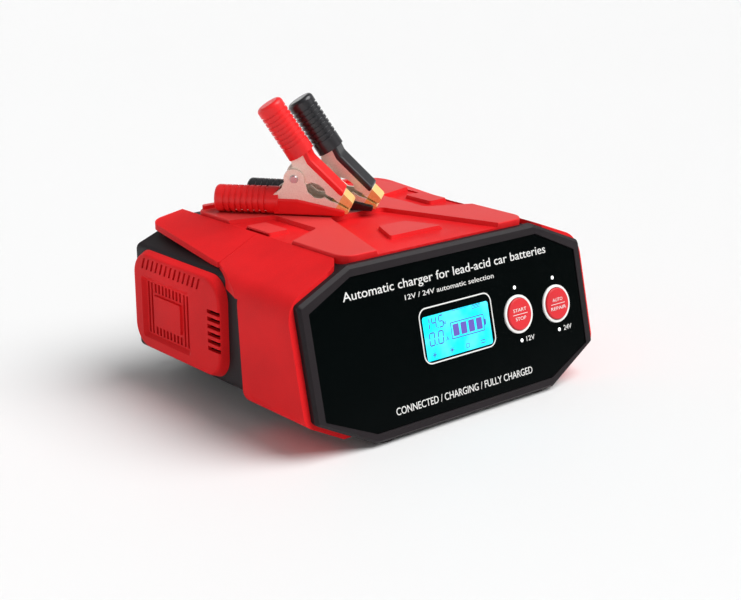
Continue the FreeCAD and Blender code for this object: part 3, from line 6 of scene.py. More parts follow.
import bmesh
import bpy
import numpy as np
from bpy.props import FloatProperty, FloatVectorProperty, PointerProperty
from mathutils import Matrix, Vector


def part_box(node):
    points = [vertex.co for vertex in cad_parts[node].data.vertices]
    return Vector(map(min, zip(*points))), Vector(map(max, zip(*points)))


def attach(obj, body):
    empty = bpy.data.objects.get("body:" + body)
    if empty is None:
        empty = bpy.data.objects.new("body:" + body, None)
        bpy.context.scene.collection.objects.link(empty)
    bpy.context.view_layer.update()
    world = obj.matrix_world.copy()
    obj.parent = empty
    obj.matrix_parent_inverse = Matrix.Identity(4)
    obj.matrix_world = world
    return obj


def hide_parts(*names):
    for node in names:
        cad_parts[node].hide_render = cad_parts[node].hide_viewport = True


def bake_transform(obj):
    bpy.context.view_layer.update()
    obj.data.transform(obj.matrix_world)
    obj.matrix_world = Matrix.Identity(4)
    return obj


bl_info = {
    "name": "Battery Charger",
    "version": (1, 0, 0),
    "blender": (4, 5, 0),
    "location": "3D View > Sidebar > Charger",
    "description": "Dresses a car battery charger: casing, covers, lit display, push buttons and clamps",
    "category": "Object",
}

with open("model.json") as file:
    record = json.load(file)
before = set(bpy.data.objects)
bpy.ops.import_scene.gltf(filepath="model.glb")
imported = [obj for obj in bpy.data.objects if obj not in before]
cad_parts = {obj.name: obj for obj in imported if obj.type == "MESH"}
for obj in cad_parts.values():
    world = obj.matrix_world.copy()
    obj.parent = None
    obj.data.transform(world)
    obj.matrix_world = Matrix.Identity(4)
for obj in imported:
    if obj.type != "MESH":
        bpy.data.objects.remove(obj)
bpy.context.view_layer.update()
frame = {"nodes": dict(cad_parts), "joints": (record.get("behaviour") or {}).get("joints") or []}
NODES = frame["nodes"]
JOINTS = {joint["name"]: joint for joint in frame["joints"]}
PRESS = JOINTS["left_button_press"]["axis"]
TILT = math.atan2(-PRESS[2], PRESS[1])
CLAMPS = ("red", "black")

# sizes on the panel, in millimetres, up its slope or out from its face
OUTLINE_LOW, OUTLINE_HIGH = 0.24, 0.32  # white line round the display
MARK_LOW, MARK_HIGH = -0.205, -0.16  # marks on the display glass
SIGN_ROW = -9.6  # height of the row of small signs
READING_STROKE = 0.75  # thickness of a digit's bars
BATTERY_LINE = 0.55  # thickness of the battery's outline
BUTTON_FACE = 1.9  # button's face
LETTER_HALF = 1.0  # half width of a letter on a button

# other sizes
DISPLAY_DOTS = 2200.0  # dots of the display in a metre
LID_STEP = 0.0024  # metres from the lid's back rail down to the tops of its pads; the lid's painted highlight begins about this far under its top


# ---- places on the leaning front panel ----
def panel_origin():
    """Middle of the panel's face: half way up its slope, above its lower front edge."""
    low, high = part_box("front_panel")
    foot = low[2] + 0.0012 * math.sin(TILT)
    half = (high[2] - foot) / (2 * math.cos(TILT))
    return np.array([0.0, low[1] + half * math.sin(TILT), foot + half * math.cos(TILT)])


PANEL = panel_origin()
PANEL_RIGHT = np.array([1.0, 0.0, 0.0])
PANEL_UP = np.array([0.0, math.sin(TILT), math.cos(TILT)])
PANEL_OUT = np.array([0.0, -math.cos(TILT), math.sin(TILT)])


def on_panel(flat):
    """Carries points (x, up, out) in millimetres to the panel: origin + x right + up slope + out."""
    flat = np.asarray(flat, dtype=float) / 1000.0
    return PANEL + flat[:, :1] * PANEL_RIGHT + flat[:, 1:2] * PANEL_UP + flat[:, 2:3] * PANEL_OUT


def node_centre(name):
    """Middle of a CAD node's box."""
    low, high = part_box(name)
    return (np.array(low) + np.array(high)) / 2


def button_middle(side):
    """A button's middle across and up the panel, in millimetres, from its box."""
    away = node_centre(side + "_button_ring") - PANEL
    return np.array([away @ PANEL_RIGHT, away @ PANEL_UP]) * 1000.0


# ---- meshes ----
def new_piece(name, points, faces, material, body):
    """A mesh object at the origin from world points and faces, riding on a body."""
    mesh = bpy.data.meshes.new(name)
    mesh.from_pydata(np.asarray(points).tolist(), [], [list(face) for face in faces])
    mesh.update()
    mesh.materials.append(material)
    piece = bpy.data.objects.new(name, mesh)
    bpy.context.scene.collection.objects.link(piece)
    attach(piece, body)
    return piece


def slab(outlines, low, high):
    """Flat outlines (x, up) raised between two heights: each has a top, a bottom and a wall round it."""
    points, faces, start = [], [], 0
    for outline in outlines:
        outline = np.asarray(outline, dtype=float)
        n = len(outline)
        for height in (low, high):
            points.append(np.column_stack([outline, np.full(n, height)]))
        index = np.arange(n)
        after = np.roll(index, -1)
        faces.append(list(start + index[::-1]))
        faces.append(list(start + n + index))
        faces += (start + np.column_stack([index, after, after + n, index + n])).tolist()
        start += 2 * n
    return np.vstack(points), faces


def ring_band(outer, inner, low, high):
    """Band between two closed outlines with the same number of points, raised between two heights."""
    n = len(outer)
    rows = [(outer, low), (outer, high), (inner, high), (inner, low)]
    points = np.vstack([np.column_stack([line, np.full(n, height)]) for line, height in rows])
    index = np.arange(n)
    after = np.roll(index, -1)
    faces = []
    for row in range(4):
        a, b = row * n, (row + 1) % 4 * n
        faces += np.column_stack([a + index, a + after, b + after, b + index]).tolist()
    return points, faces


def circle(x, up, radius, count=48):
    """Points round a circle: centre + radius (cos, sin)."""
    angle = np.linspace(0, 2 * np.pi, count, endpoint=False)
    return np.column_stack([x + radius * np.cos(angle), up + radius * np.sin(angle)])


def rounded_box(x, up, width, height, corner, count=12):
    """Outline of a rounded rectangle: a quarter circle about each inner corner, one after the other."""
    turn = np.linspace(0, np.pi / 2, count)
    lines = []
    for quarter, (sx, sy) in enumerate(((1, 1), (-1, 1), (-1, -1), (1, -1))):
        angle = turn + quarter * np.pi / 2
        middle = np.array([x + sx * (width / 2 - corner), up + sy * (height / 2 - corner)])
        lines.append(middle + corner * np.column_stack([np.cos(angle), np.sin(angle)]))
    return np.vstack(lines)


def bar(x0, up0, x1, up1, thick):
    """Outline of a straight bar between two points."""
    start, end = np.array([x0, up0]), np.array([x1, up1])
    along = (end - start) / np.linalg.norm(end - start)
    side = np.array([-along[1], along[0]]) * thick / 2
    return np.array([start - side, end - side, end + side, start + side])


SEGMENTS = {"0": "abcdef", "1": "bc", "2": "abged", "3": "abgcd", "4": "fgbc", "5": "afgcd"}


def digit(character, x, up, width, height, thick):
    """The lit bars of one seven-bar digit: six-sided bars, pointed at both ends, on the digit's frame."""
    gap = thick * 0.12
    corners = {
        "a": ((0, height), (width, height)), "b": ((width, height), (width, height / 2)),
        "c": ((width, height / 2), (width, 0)), "d": ((0, 0), (width, 0)),
        "e": ((0, height / 2), (0, 0)), "f": ((0, height), (0, height / 2)),
        "g": ((0, height / 2), (width, height / 2)),
    }
    outlines = []
    for name in SEGMENTS[character]:
        start, end = (np.array(point, dtype=float) for point in corners[name])
        along = (end - start) / np.linalg.norm(end - start)
        side = np.array([-along[1], along[0]]) * thick / 2
        a, b = start + along * gap, end - along * gap
        shape = [a, a + along * thick / 2 - side, b - along * thick / 2 - side, b,
                 b - along * thick / 2 + side, a + along * thick / 2 + side]
        shape = np.array(shape)
        shape[:, 0] += shape[:, 1] * 0.08
        outlines.append(shape + (x, up))
    return outlines


def word_mesh(words):
    """Vertices and faces of words set in the built-in face at size one, with a little thickness."""
    curve = bpy.data.curves.new("words", "FONT")
    curve.body = words
    curve.extrude = 0.012
    curve.resolution_u = 4
    holder = bpy.data.objects.new("words", curve)
    bpy.context.scene.collection.objects.link(holder)
    mesh = bpy.data.meshes.new_from_object(holder)
    points = np.empty(len(mesh.vertices) * 3)
    mesh.vertices.foreach_get("co", points)
    faces = [list(polygon.vertices) for polygon in mesh.polygons]
    bpy.data.objects.remove(holder)
    bpy.data.curves.remove(curve)
    bpy.data.meshes.remove(mesh)
    return points.reshape(-1, 3), faces


def lettering(name, words, left, right, base, height, lift, material, body):
    """Words on the panel between two x places, on a base line, with capitals of a given height."""
    capital = word_mesh("H")[0][:, 1].max()
    points, faces = word_mesh(words)
    low, high = points[:, 0].min(), points[:, 0].max()
    scale = height / capital
    flat = np.column_stack([
        left + (points[:, 0] - low) * (right - left) / (high - low),
        base + points[:, 1] * scale,
        lift + (points[:, 2] - points[:, 2].min()) * scale,
    ])
    return new_piece(name, on_panel(flat), faces, material, body)


def printed(name, outlines, low, high, material, body):
    """Flat shapes raised a little from the panel."""
    points, faces = slab(outlines, low, high)
    return new_piece(name, on_panel(points), faces, material, body)


# ---- shader signals ----
class Signal:
    """A shader socket that can be used in ordinary sums."""

    def __init__(self, finish, socket):
        self.finish = finish
        self.socket = socket

    def _sum(self, operation, *values):
        """Makes the Math node of one operation."""
        return self.finish.node("ShaderNodeMath", {"operation": operation}, *values)

    def __add__(self, other):
        return self._sum("ADD", self, other)

    __radd__ = __add__

    def __sub__(self, other):
        return self._sum("SUBTRACT", self, other)

    def __rsub__(self, other):
        return self._sum("SUBTRACT", other, self)

    def __mul__(self, other):
        return self._sum("MULTIPLY", self, other)

    __rmul__ = __mul__

    def above(self, low, high):
        """0 under low, 1 over high, smooth between."""
        settings = {"interpolation_type": "SMOOTHSTEP"}
        return self.finish.node("ShaderNodeMapRange", settings, self, low, high, 0.0, 1.0)


class Finish:
    """A material under construction, with one Principled shader."""

    def __init__(self, name, roughness=0.5, metallic=0.0, **constants):
        self.material = bpy.data.materials.new(name)
        self.material.use_nodes = True
        self.tree = self.material.node_tree
        self.shader = self.tree.nodes["Principled BSDF"]
        self.shader.inputs["Roughness"].default_value = roughness
        self.shader.inputs["Metallic"].default_value = metallic
        for key, value in constants.items():
            self.shader.inputs[key.replace("_", " ")].default_value = value

    def node(self, kind, settings, *values, output=0, **named):
        """Makes a node: settings, then sockets in order or by name, where None leaves one as it is."""
        made = self.tree.nodes.new(kind)
        for key, value in settings.items():
            setattr(made, key, value)
        pairs = list(enumerate(values)) + [(key.replace("_", " "), value) for key, value in named.items()]
        for key, value in pairs:
            if isinstance(value, Signal):
                self.tree.links.new(value.socket, made.inputs[key])
            elif value is not None:
                made.inputs[key].default_value = value
        return Signal(self, made.outputs[output])

    def place(self, stretch=(1, 1, 1), turn=(0, 0, 0)):
        """Object coordinates, turned and stretched."""
        where = self.node("ShaderNodeTexCoord", {}, output="Object")
        return self.node("ShaderNodeMapping", {}, Vector=where, Rotation=turn, Scale=stretch)

    def noise(self, size, detail=2.0, where=None, rough=0.5):
        """Cloudy value from 0 to 1 whose blobs are about size metres across."""
        where = where or self.place()
        return self.node(
            "ShaderNodeTexNoise", {}, Vector=where, Scale=1.0 / size, Detail=detail, Roughness=rough)

    def cells(self, size):
        """Distance to scattered points about size metres apart."""
        return self.node("ShaderNodeTexVoronoi", {"feature": "F1"}, Vector=self.place(), Scale=1.0 / size)

    def part(self, where, axis):
        """One coordinate of a position."""
        return self.node("ShaderNodeSeparateXYZ", {}, where, output=axis)

    def mix(self, factor, first, second):
        """Blend of two colours, by a factor from 0 to 1. Five sockets of other kinds come between."""
        colours = [colour if isinstance(colour, Signal) else rgba(colour) for colour in (first, second)]
        others = [None] * 5
        return self.node("ShaderNodeMix", {"data_type": "RGBA"}, factor, *others, *colours, output=2)

    def bump(self, *layers):
        """Feeds the normal from (height, depth in metres) layers, one over the other."""
        normal = None
        for height, depth in layers:
            normal = self.node(
                "ShaderNodeBump", {}, Height=height, Distance=depth, Strength=1.0, Normal=normal)
        self.feed("Normal", normal)

    def feed(self, key, signal):
        """Links a signal to one of the shader's sockets."""
        self.tree.links.new(signal.socket, self.shader.inputs[key])


def rgba(colour):
    """A colour with full alpha."""
    return (*tuple(colour)[:3], 1.0)


def shade(colour, amount):
    """A colour made darker or lighter by a factor."""
    return tuple(min(1.0, part * amount) for part in tuple(colour)[:3])


# ---- finishes ----
def moulded(name, colour, roughness, grain=0.0006, depth=0.00003, dust=0.12, gloss=0.3, sheen=None,
            **constants):
    """Moulded plastic: fine spark-erosion grain, slow waves, dust on what faces up, uneven gloss.

    A painted highlight (colour, height) pales what faces up above a height, standing in for light glancing
    off it.
    """
    finish = Finish(name, roughness, Specular_IOR_Level=gloss, **constants)
    clouds = finish.noise(0.05, 3.0)
    fine = finish.noise(grain, 3.0, rough=0.6)
    specks = 1.0 - finish.cells(0.004).above(0.03, 0.10)
    upward = finish.part(finish.node("ShaderNodeTexCoord", {}, output="Normal"), 2).above(0.3, 1.0)
    powder = specks * upward * finish.noise(0.01, 2.0).above(0.5, 0.75) * dust
    tint = finish.mix(clouds.above(0.3, 0.7), shade(colour, 0.88), shade(colour, 1.08))
    tint = finish.mix(fine.above(0.35, 0.75) * 0.25, tint, shade(colour, 1.35))
    tint = finish.mix(powder, tint, (0.7, 0.66, 0.62))
    # painted highlight: faces that look up and stand above the given height are mixed towards a paler
    # colour, standing in for light glancing off them
    if sheen:
        highlight_colour, height = sheen
        high = finish.part(finish.place(), 2).above(height - 0.0006, height + 0.0002)
        tint = finish.mix(high * upward * 0.85, tint, highlight_colour)
    finish.feed("Base Color", tint)
    finish.feed("Roughness", roughness + (clouds - 0.5) * 0.12 + powder * 0.4)
    finish.bump((clouds, 0.0002), (fine, depth))
    return finish.material


def glossy(name, colour, roughness=0.06):
    """Polished plastic: faint long swirls, small dust specks and slow waves."""
    finish = Finish(name, roughness, Specular_IOR_Level=0.025)
    clouds = finish.noise(0.06, 2.0)
    swirls = finish.noise(0.0015, 2.0, finish.place((1.0, 0.05, 0.35), (0.3, 0.5, 0.9))).above(0.62, 0.75)
    specks = 1.0 - finish.cells(0.006).above(0.01, 0.04)
    deep = finish.mix(clouds, shade(colour, 0.8), shade(colour, 1.2))
    finish.feed("Base Color", finish.mix(specks * 0.03, deep, (0.35, 0.35, 0.35)))
    finish.feed("Roughness", roughness + swirls * 0.10 + clouds * 0.03 + specks * 0.3)
    finish.bump((clouds, 0.00006))
    return finish.material


def plated(name, colour, roughness, turn, tarnish=(0.35, 0.2, 0.14), metallic=1.0):
    """Plated sheet metal: rolling streaks along the sheet, soft tarnish clouds and a few scratches."""
    finish = Finish(name, roughness, metallic)
    streaks = finish.noise(0.0006, 3.0, finish.place((0.06, 1.0, 1.0), (0.0, 0.0, turn)))
    clouds = finish.noise(0.006, 3.0, rough=0.6)
    scratch = finish.noise(0.0009, 1.0, finish.place((1.0, 0.04, 0.5), (0.4, 0.2, turn))).above(0.68, 0.74)
    tint = finish.mix(streaks.above(0.25, 0.75), shade(colour, 0.9), shade(colour, 1.06))
    tint = finish.mix(clouds.above(0.56, 0.78) * 0.45, tint, tarnish)
    finish.feed("Base Color", tint)
    finish.feed("Roughness", roughness + (streaks - 0.5) * 0.16 + clouds * 0.08 + scratch * 0.15)
    finish.bump((streaks, 0.00001), (scratch, 0.000008))
    return finish.material


def lit(name, colour, strength, roughness=0.25):
    """Clear plastic lit from behind, a little uneven."""
    finish = Finish(name, roughness, Emission_Strength=strength)
    glow = finish.noise(0.004, 2.0)
    tint = finish.mix(glow, shade(colour, 0.85), colour)
    finish.feed("Base Color", tint)
    finish.feed("Emission Color", tint)
    return finish.material


def backlit_display(name, colour, strength):
    """Back-lit display: brighter at its upper edge, with a fine grid of dots under gloss."""
    finish = Finish(name, 0.12, Emission_Strength=strength, Specular_IOR_Level=0.15)
    where = finish.place()
    height = finish.part(where, 2)
    low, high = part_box("display_window")
    rise = height.above(low[2], high[2])
    settings = {"feature": "F1", "distance": "CHEBYCHEV"}
    grid = finish.node("ShaderNodeTexVoronoi", settings, Vector=where, Scale=DISPLAY_DOTS, Randomness=0.0)
    tint = finish.mix(rise, shade(colour, 0.88), shade(colour, 1.05))
    tint = finish.mix(grid.above(0.42, 0.5) * 0.12, tint, shade(colour, 0.5))
    tint = finish.mix(finish.noise(0.012, 2.0).above(0.4, 0.8) * 0.15, tint, (0.5, 0.95, 1.0))
    finish.feed("Base Color", tint)
    finish.feed("Emission Color", tint)
    return finish.material


def ink(name, colour, roughness=0.45):
    """Screen-printed ink with a slightly broken surface."""
    finish = Finish(name, roughness)
    grain = finish.noise(0.0003, 2.0)
    finish.feed("Base Color", finish.mix(grain, shade(colour, 0.85), colour))
    finish.bump((grain, 0.00001))
    return finish.material


def laminated(name):
    """Stacked steel sheets: thin dark lines between grey sheets."""
    finish = Finish(name, 0.45, 0.8)
    sheets = finish.node("ShaderNodeTexWave", {"bands_direction": "Y"}, Vector=finish.place(), Scale=320.0)
    finish.feed("Base Color", finish.mix(sheets, (0.10, 0.10, 0.11), (0.42, 0.42, 0.44)))
    finish.bump((sheets, 0.0001))
    return finish.material


def wound(name, colour):
    """Enamelled wire wound in close turns."""
    finish = Finish(name, 0.3, Coat_Weight=0.5)
    settings = {"bands_direction": "Z"}
    turns = finish.node("ShaderNodeTexWave", settings, Vector=finish.place(), Scale=260.0, Distortion=0.6)
    # painted shade: the darker half of each band stands in for the shade in the grooves between the turns
    finish.feed("Base Color", finish.mix(turns, shade(colour, 0.45), colour))
    finish.bump((turns, 0.0003))
    return finish.material


def board(name):
    """Circuit board: green lacquer with lighter tracks and tinned pads."""
    finish = Finish(name, 0.35)
    tracks = finish.node("ShaderNodeTexBrick", {}, Vector=finish.place(), Scale=90.0, output="Fac")
    pads = 1.0 - finish.cells(0.005).above(0.12, 0.16)
    tint = finish.mix(tracks, (0.01, 0.10, 0.035), (0.03, 0.22, 0.08))
    finish.feed("Base Color", finish.mix(pads, tint, (0.7, 0.68, 0.62)))
    finish.feed("Metallic", pads)
    return finish.material


def studio_floor(name, colour):
    """Pale floor with the faintest unevenness."""
    finish = Finish(name, 0.6)
    clouds = finish.noise(0.8, 2.0)
    finish.feed("Base Color", finish.mix(clouds, shade(colour, 0.985), colour))
    return finish.material


def paint(material, *names):
    """Gives CAD nodes a material."""
    for name in names:
        for material_slot in NODES[name].material_slots:
            material_slot.material = material


# ---- settings ----
class ChargerStageSettings(bpy.types.PropertyGroup):
    """Camera, light and floor."""

    camera_place: FloatVectorProperty(
        name="Camera place", description="Where the camera stands",
        default=(-0.5050, -0.6035, 0.2867), unit="LENGTH")
    camera_turn: FloatProperty(
        name="Camera turn", description="Heading of the view",
        default=math.radians(-40.25), unit="ROTATION")
    camera_drop: FloatProperty(
        name="Camera drop", description="How far the view looks down",
        default=math.radians(17.1), unit="ROTATION")
    lens: FloatProperty(name="Lens", description="Focal length on a 36 mm sensor", default=70.1)
    key: FloatProperty(name="Key light", description="Strength of the main soft light", default=3.4)
    key_from: FloatVectorProperty(
        name="Key from", description="Where the main light comes from",
        default=(0.40, -0.42, 0.82), subtype="DIRECTION")
    sky: FloatProperty(name="Sky", description="Strength of the light from all round", default=0.26)
    floor: FloatVectorProperty(
        name="Floor", description="Colour of the floor", default=(0.86, 0.86, 0.86), subtype="COLOR")


class ChargerCoverSettings(bpy.types.PropertyGroup):
    """Colours of the mouldings."""

    red: FloatVectorProperty(
        name="Covers", description="Colour of the covers", default=(0.74, 0.014, 0.017), subtype="COLOR")
    dark: FloatVectorProperty(
        name="Casing", description="Colour of the casing", default=(0.013, 0.009, 0.011), subtype="COLOR")
    gloss: FloatVectorProperty(
        name="Panel", description="Colour of the panel",
        default=(0.0008, 0.0018, 0.0018), subtype="COLOR")
    cap: FloatVectorProperty(
        name="Buttons", description="Colour of the button caps",
        default=(0.66, 0.022, 0.030), subtype="COLOR")
    white: FloatVectorProperty(
        name="White", description="Colour of the print and rings",
        default=(0.86, 0.86, 0.84), subtype="COLOR")


class ChargerDisplaySettings(bpy.types.PropertyGroup):
    """Colours of the display."""

    back: FloatVectorProperty(
        name="Back light", description="Colour of the lit field",
        default=(0.006, 0.68, 0.86), subtype="COLOR")
    mark: FloatVectorProperty(
        name="Marks", description="Colour of the digits", default=(0.06, 0.13, 0.55), subtype="COLOR")
    cell: FloatVectorProperty(
        name="Cells", description="Colour of the battery cells",
        default=(0.14, 0.10, 0.52), subtype="COLOR")
    glow: FloatProperty(name="Glow", description="Strength of the back light", default=0.75)


class ChargerClampSettings(bpy.types.PropertyGroup):
    """Colours of the clamps."""

    copper: FloatVectorProperty(
        name="Plating", description="Colour of the jaws", default=(1.0, 0.88, 0.76), subtype="COLOR")
    gold: FloatVectorProperty(
        name="Tips", description="Colour of the toothed tips", default=(1.0, 0.70, 0.26), subtype="COLOR")
    red: FloatVectorProperty(
        name="Red grip", description="Colour of the positive grips",
        default=(0.86, 0.018, 0.020), subtype="COLOR")
    black: FloatVectorProperty(
        name="Black grip", description="Colour of the negative grips",
        default=(0.014, 0.014, 0.017), subtype="COLOR")
    turn: FloatProperty(
        name="Turn", description="Heading of the clamps", default=math.radians(-51.5), unit="ROTATION")


class Shared:
    """Materials that several pieces use, made once."""

    made = {}

    @classmethod
    def get(cls, key, maker, *values, **named):
        """The material of that name, made by its maker when it is first asked for."""
        if key not in cls.made:
            cls.made[key] = maker(key, *values, **named)
        return cls.made[key]


def steel():
    """Bright steel of the screws, rivets and springs."""
    return Shared.get("screw_steel", plated, (0.62, 0.62, 0.64), 0.3, 0.0, (0.3, 0.3, 0.32))


# ---- operators ----
class ChargerStage(bpy.types.Operator):
    """Make the floor, the soft lights and the camera"""

    bl_idname = "charger.stage"
    bl_label = "Stage"

    def execute(self, context):
        settings = context.scene.charger_stage
        self.floor(settings)
        self.lights(context, settings)
        self.camera(context, settings)
        return {"FINISHED"}

    def floor(self, settings):
        """Round floor with its rim swept up: past 9 m, r = 9 + 4 sin t and z = 4 - 4 cos t."""
        sweep = np.linspace(0.0, np.pi / 2, 16)
        radius = np.concatenate([np.linspace(0.0, 9.0, 24, endpoint=False), 9.0 + 4.0 * np.sin(sweep)])
        height = np.concatenate([np.zeros(24), 4.0 - 4.0 * np.cos(sweep)])
        turn = np.linspace(0.0, 2 * np.pi, 64, endpoint=False)
        x, y = radius[:, None] * np.cos(turn), radius[:, None] * np.sin(turn)
        grid = np.stack([x, y, np.broadcast_to(height[:, None], x.shape)], axis=-1).reshape(-1, 3)
        index = np.arange(len(grid)).reshape(x.shape)
        after = np.roll(index, -1, axis=1)
        faces = np.stack([index[:-1], index[1:], after[1:], after[:-1]], axis=-1).reshape(-1, 4)
        mesh = bpy.data.meshes.new("floor")
        mesh.from_pydata(grid.tolist(), [], faces[64:].tolist() + [index[1].tolist()])
        mesh.polygons.foreach_set("use_smooth", np.ones(len(mesh.polygons), dtype=bool))
        mesh.materials.append(studio_floor("studio_floor", settings.floor))
        ground = bpy.data.objects.new("floor", mesh)
        bpy.context.scene.collection.objects.link(ground)

    def lights(self, context, settings):
        """White light from all round and one broad soft lamp."""
        world = bpy.data.worlds.new("studio")
        world.use_nodes = True
        sky = world.node_tree.nodes["Background"]
        sky.inputs["Color"].default_value = (1.0, 1.0, 1.0, 1.0)
        sky.inputs["Strength"].default_value = settings.sky
        context.scene.world = world
        lamp = bpy.data.lights.new("key", "SUN")
        lamp.energy = settings.key
        lamp.angle = math.radians(50.0)
        holder = bpy.data.objects.new("key", lamp)
        holder.rotation_euler = (-Vector(settings.key_from)).to_track_quat("-Z", "Y").to_euler()
        context.scene.collection.objects.link(holder)
        context.scene.view_settings.view_transform = "Standard"

    def camera(self, context, settings):
        """Camera from its place, heading and drop."""
        eye = bpy.data.cameras.new("camera")
        eye.lens = settings.lens
        eye.sensor_width = 36.0
        eye.clip_end = 50.0
        holder = bpy.data.objects.new("camera", eye)
        turn, drop = settings.camera_turn, settings.camera_drop
        ahead = Vector((-math.sin(turn) * math.cos(drop), math.cos(turn) * math.cos(drop), -math.sin(drop)))
        holder.location = settings.camera_place
        holder.rotation_euler = ahead.to_track_quat("-Z", "Y").to_euler()
        context.scene.collection.objects.link(holder)
        context.scene.camera = holder


class ChargerCasing(bpy.types.Operator):
    """Finish the dark casing, its back, feet, glands and screws"""

    bl_idname = "charger.casing"
    bl_label = "Casing"

    def execute(self, context):
        dark = context.scene.charger_covers.dark
        casing = Shared.get("casing_plastic", moulded, dark, 0.46, depth=0.00004, gloss=0.2)
        paint(casing, "housing", "base_tray", "rear_cover", "front_bezel")
        rubber = Shared.get("soft_rubber", moulded, shade(dark, 1.2), 0.75, grain=0.0012, depth=0.00008)
        paint(rubber, "feet", "mains_gland", "output_gland")
        paint(steel(), "base_screws", "rear_screws", "fan_screws", "board_screws", "control_screws")
        return {"FINISHED"}


class ChargerCovers(bpy.types.Operator):
    """Finish the red lid, cheeks, wings and side grilles"""

    bl_idname = "charger.covers"
    bl_label = "Red covers"

    def execute(self, context):
        red = context.scene.charger_covers.red
        cover = Shared.get("red_plastic", moulded, red, 0.46, depth=0.00003, gloss=0.07)
        lid_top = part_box("top_cover")[1][2]
        # painted highlight on the lid: a paler red mixed in where the top faces up, from LID_STEP under its
        # top
        highlight_colour = (red[0] * 0.97, red[1] * 4.5, red[2] * 3.6)
        sheen = (highlight_colour, lid_top - LID_STEP)
        lid = Shared.get("red_lid", moulded, red, 0.42, depth=0.00003, gloss=0.1, sheen=sheen)
        paint(lid, "top_cover")
        paint(cover, "left_cheek", "right_cheek", "left_wing", "right_wing", "left_grille", "right_grille")
        return {"FINISHED"}


class ChargerFront(bpy.types.Operator):
    """Finish the glossy front panel and print its words and marks"""

    bl_idname = "charger.front"
    bl_label = "Front panel"

    def execute(self, context):
        covers = context.scene.charger_covers
        panel = Shared.get("panel_gloss", glossy, covers.gloss)
        paint(panel, "front_panel", "display_frame")
        white = Shared.get("white_ink", ink, covers.white)
        words = (
            ("title", "Automatic charger for lead-acid car batteries", -73.0, 73.0, 29.0, 4.6),
            ("voltages", "12V / 24V automatic selection", -33.0, 31.0, 22.4, 2.6),
            ("states", "CONNECTED / CHARGING / FULLY CHARGED", -50.0, 50.0, -34.6, 3.8),
            ("volts_12", "12V", 49.0, 55.4, -16.5, 2.7),
            ("volts_24", "24V", 79.2, 85.6, -16.5, 2.7),
        )
        for name, text, left, right, base, height in words:
            lettering("print_" + name, text, left, right, base, height, 0.0, white, "charger")
        outer = rounded_box(0.0, 1.0, 52.4, 30.0, 5.3)
        inner = rounded_box(0.0, 1.0, 51.0, 28.6, 4.6)
        points, faces = ring_band(outer, inner, OUTLINE_LOW, OUTLINE_HIGH)
        new_piece("display_outline", on_panel(points), faces, white, "charger")
        return {"FINISHED"}


class ChargerDisplay(bpy.types.Operator):
    """Light the display and draw its digits, battery and small signs"""

    bl_idname = "charger.display"
    bl_label = "Display"

    def execute(self, context):
        settings = context.scene.charger_display
        paint(Shared.get("display_light", backlit_display, settings.back, settings.glow), "display_window")
        mark = Shared.get("display_mark", ink, settings.mark)
        dark = Shared.get("black_plastic", moulded, (0.02, 0.02, 0.02), 0.5)
        paint(dark, "display_module")
        shapes = self.readings() + self.battery() + self.signs()
        printed("display_marks", shapes, MARK_LOW, MARK_HIGH, mark, "charger")
        cells = [rounded_box(-1.2 + i * 5.7, 0.3, 4.3, 6.4, 0.4, 4) for i in range(4)]
        fill = Shared.get("display_cell", ink, settings.cell)
        printed("display_cells", cells, MARK_LOW, MARK_HIGH, fill, "charger")
        letters = (
            ("volt", "V", -9.6, -7.0, 4.4),
            ("ampere", "A", -9.2, -6.8, -4.2),
            ("count", "000", 12.0, 18.6, 8.6),
        )
        for name, text, left, right, base in letters:
            lettering("display_" + name, text, left, right, base, 2.4, MARK_LOW, mark, "charger")
        return {"FINISHED"}

    def readings(self):
        """Two rows of seven-bar digits with their points."""
        shapes = []
        for x, character in ((-22.4, "1"), (-17.6, "4"), (-12.6, "5")):
            shapes += digit(character, x, 4.0, 2.9, 6.0, READING_STROKE)
        for x, character in ((-20.6, "0"), (-14.4, "0")):
            shapes += digit(character, x, -4.6, 3.4, 6.6, READING_STROKE)
        shapes += [circle(-13.5, 4.1, 0.42, 12), circle(-15.9, -4.5, 0.45, 12)]
        return shapes

    def battery(self):
        """Battery outline of four bars with a knob."""
        left, right, low, high = -4.6, 19.4, -4.0, 4.6
        corners = ((left, low, right, low), (left, high, right, high), (left, low, left, high),
                   (right, low, right, high))
        shapes = [bar(*ends, BATTERY_LINE) for ends in corners]
        shapes.append(rounded_box(right + 0.9, 0.3, 1.2, 3.4, 0.3, 4))
        return shapes

    def signs(self):
        """Line over the battery, then a row of small signs: a star, a sun, a square and two bars."""
        shapes = [bar(-3.4, 10.6, 9.6, 10.6, 0.25)]
        for turn in np.arange(3) * np.pi / 3:
            shapes.append(self.ray(-18.5, turn, -1.6, 1.6, 0.35))
        shapes.append(circle(-6.0, SIGN_ROW, 0.8, 16))
        for turn in np.arange(8) * np.pi / 4:
            shapes.append(self.ray(-6.0, turn, 1.1, 1.9, 0.3))
        left, right, low, high = 4.4, 6.6, SIGN_ROW - 1.0, SIGN_ROW + 1.0
        square = ((left, low, left, high), (right, low, right, high), (left, high, right, high),
                  (left, low, right, low))
        shapes += [bar(*ends, 0.35) for ends in square]
        shapes += [bar(15.0, height, 18.6, height, 0.5) for height in (-9.0, -10.4)]
        return shapes

    def ray(self, x, turn, start, end, thick):
        """Bar between two distances from a sign's middle, turned round it."""
        away = np.array([np.cos(turn), np.sin(turn)])
        middle = np.array([x, SIGN_ROW])
        return bar(*(middle + away * start), *(middle + away * end), thick)


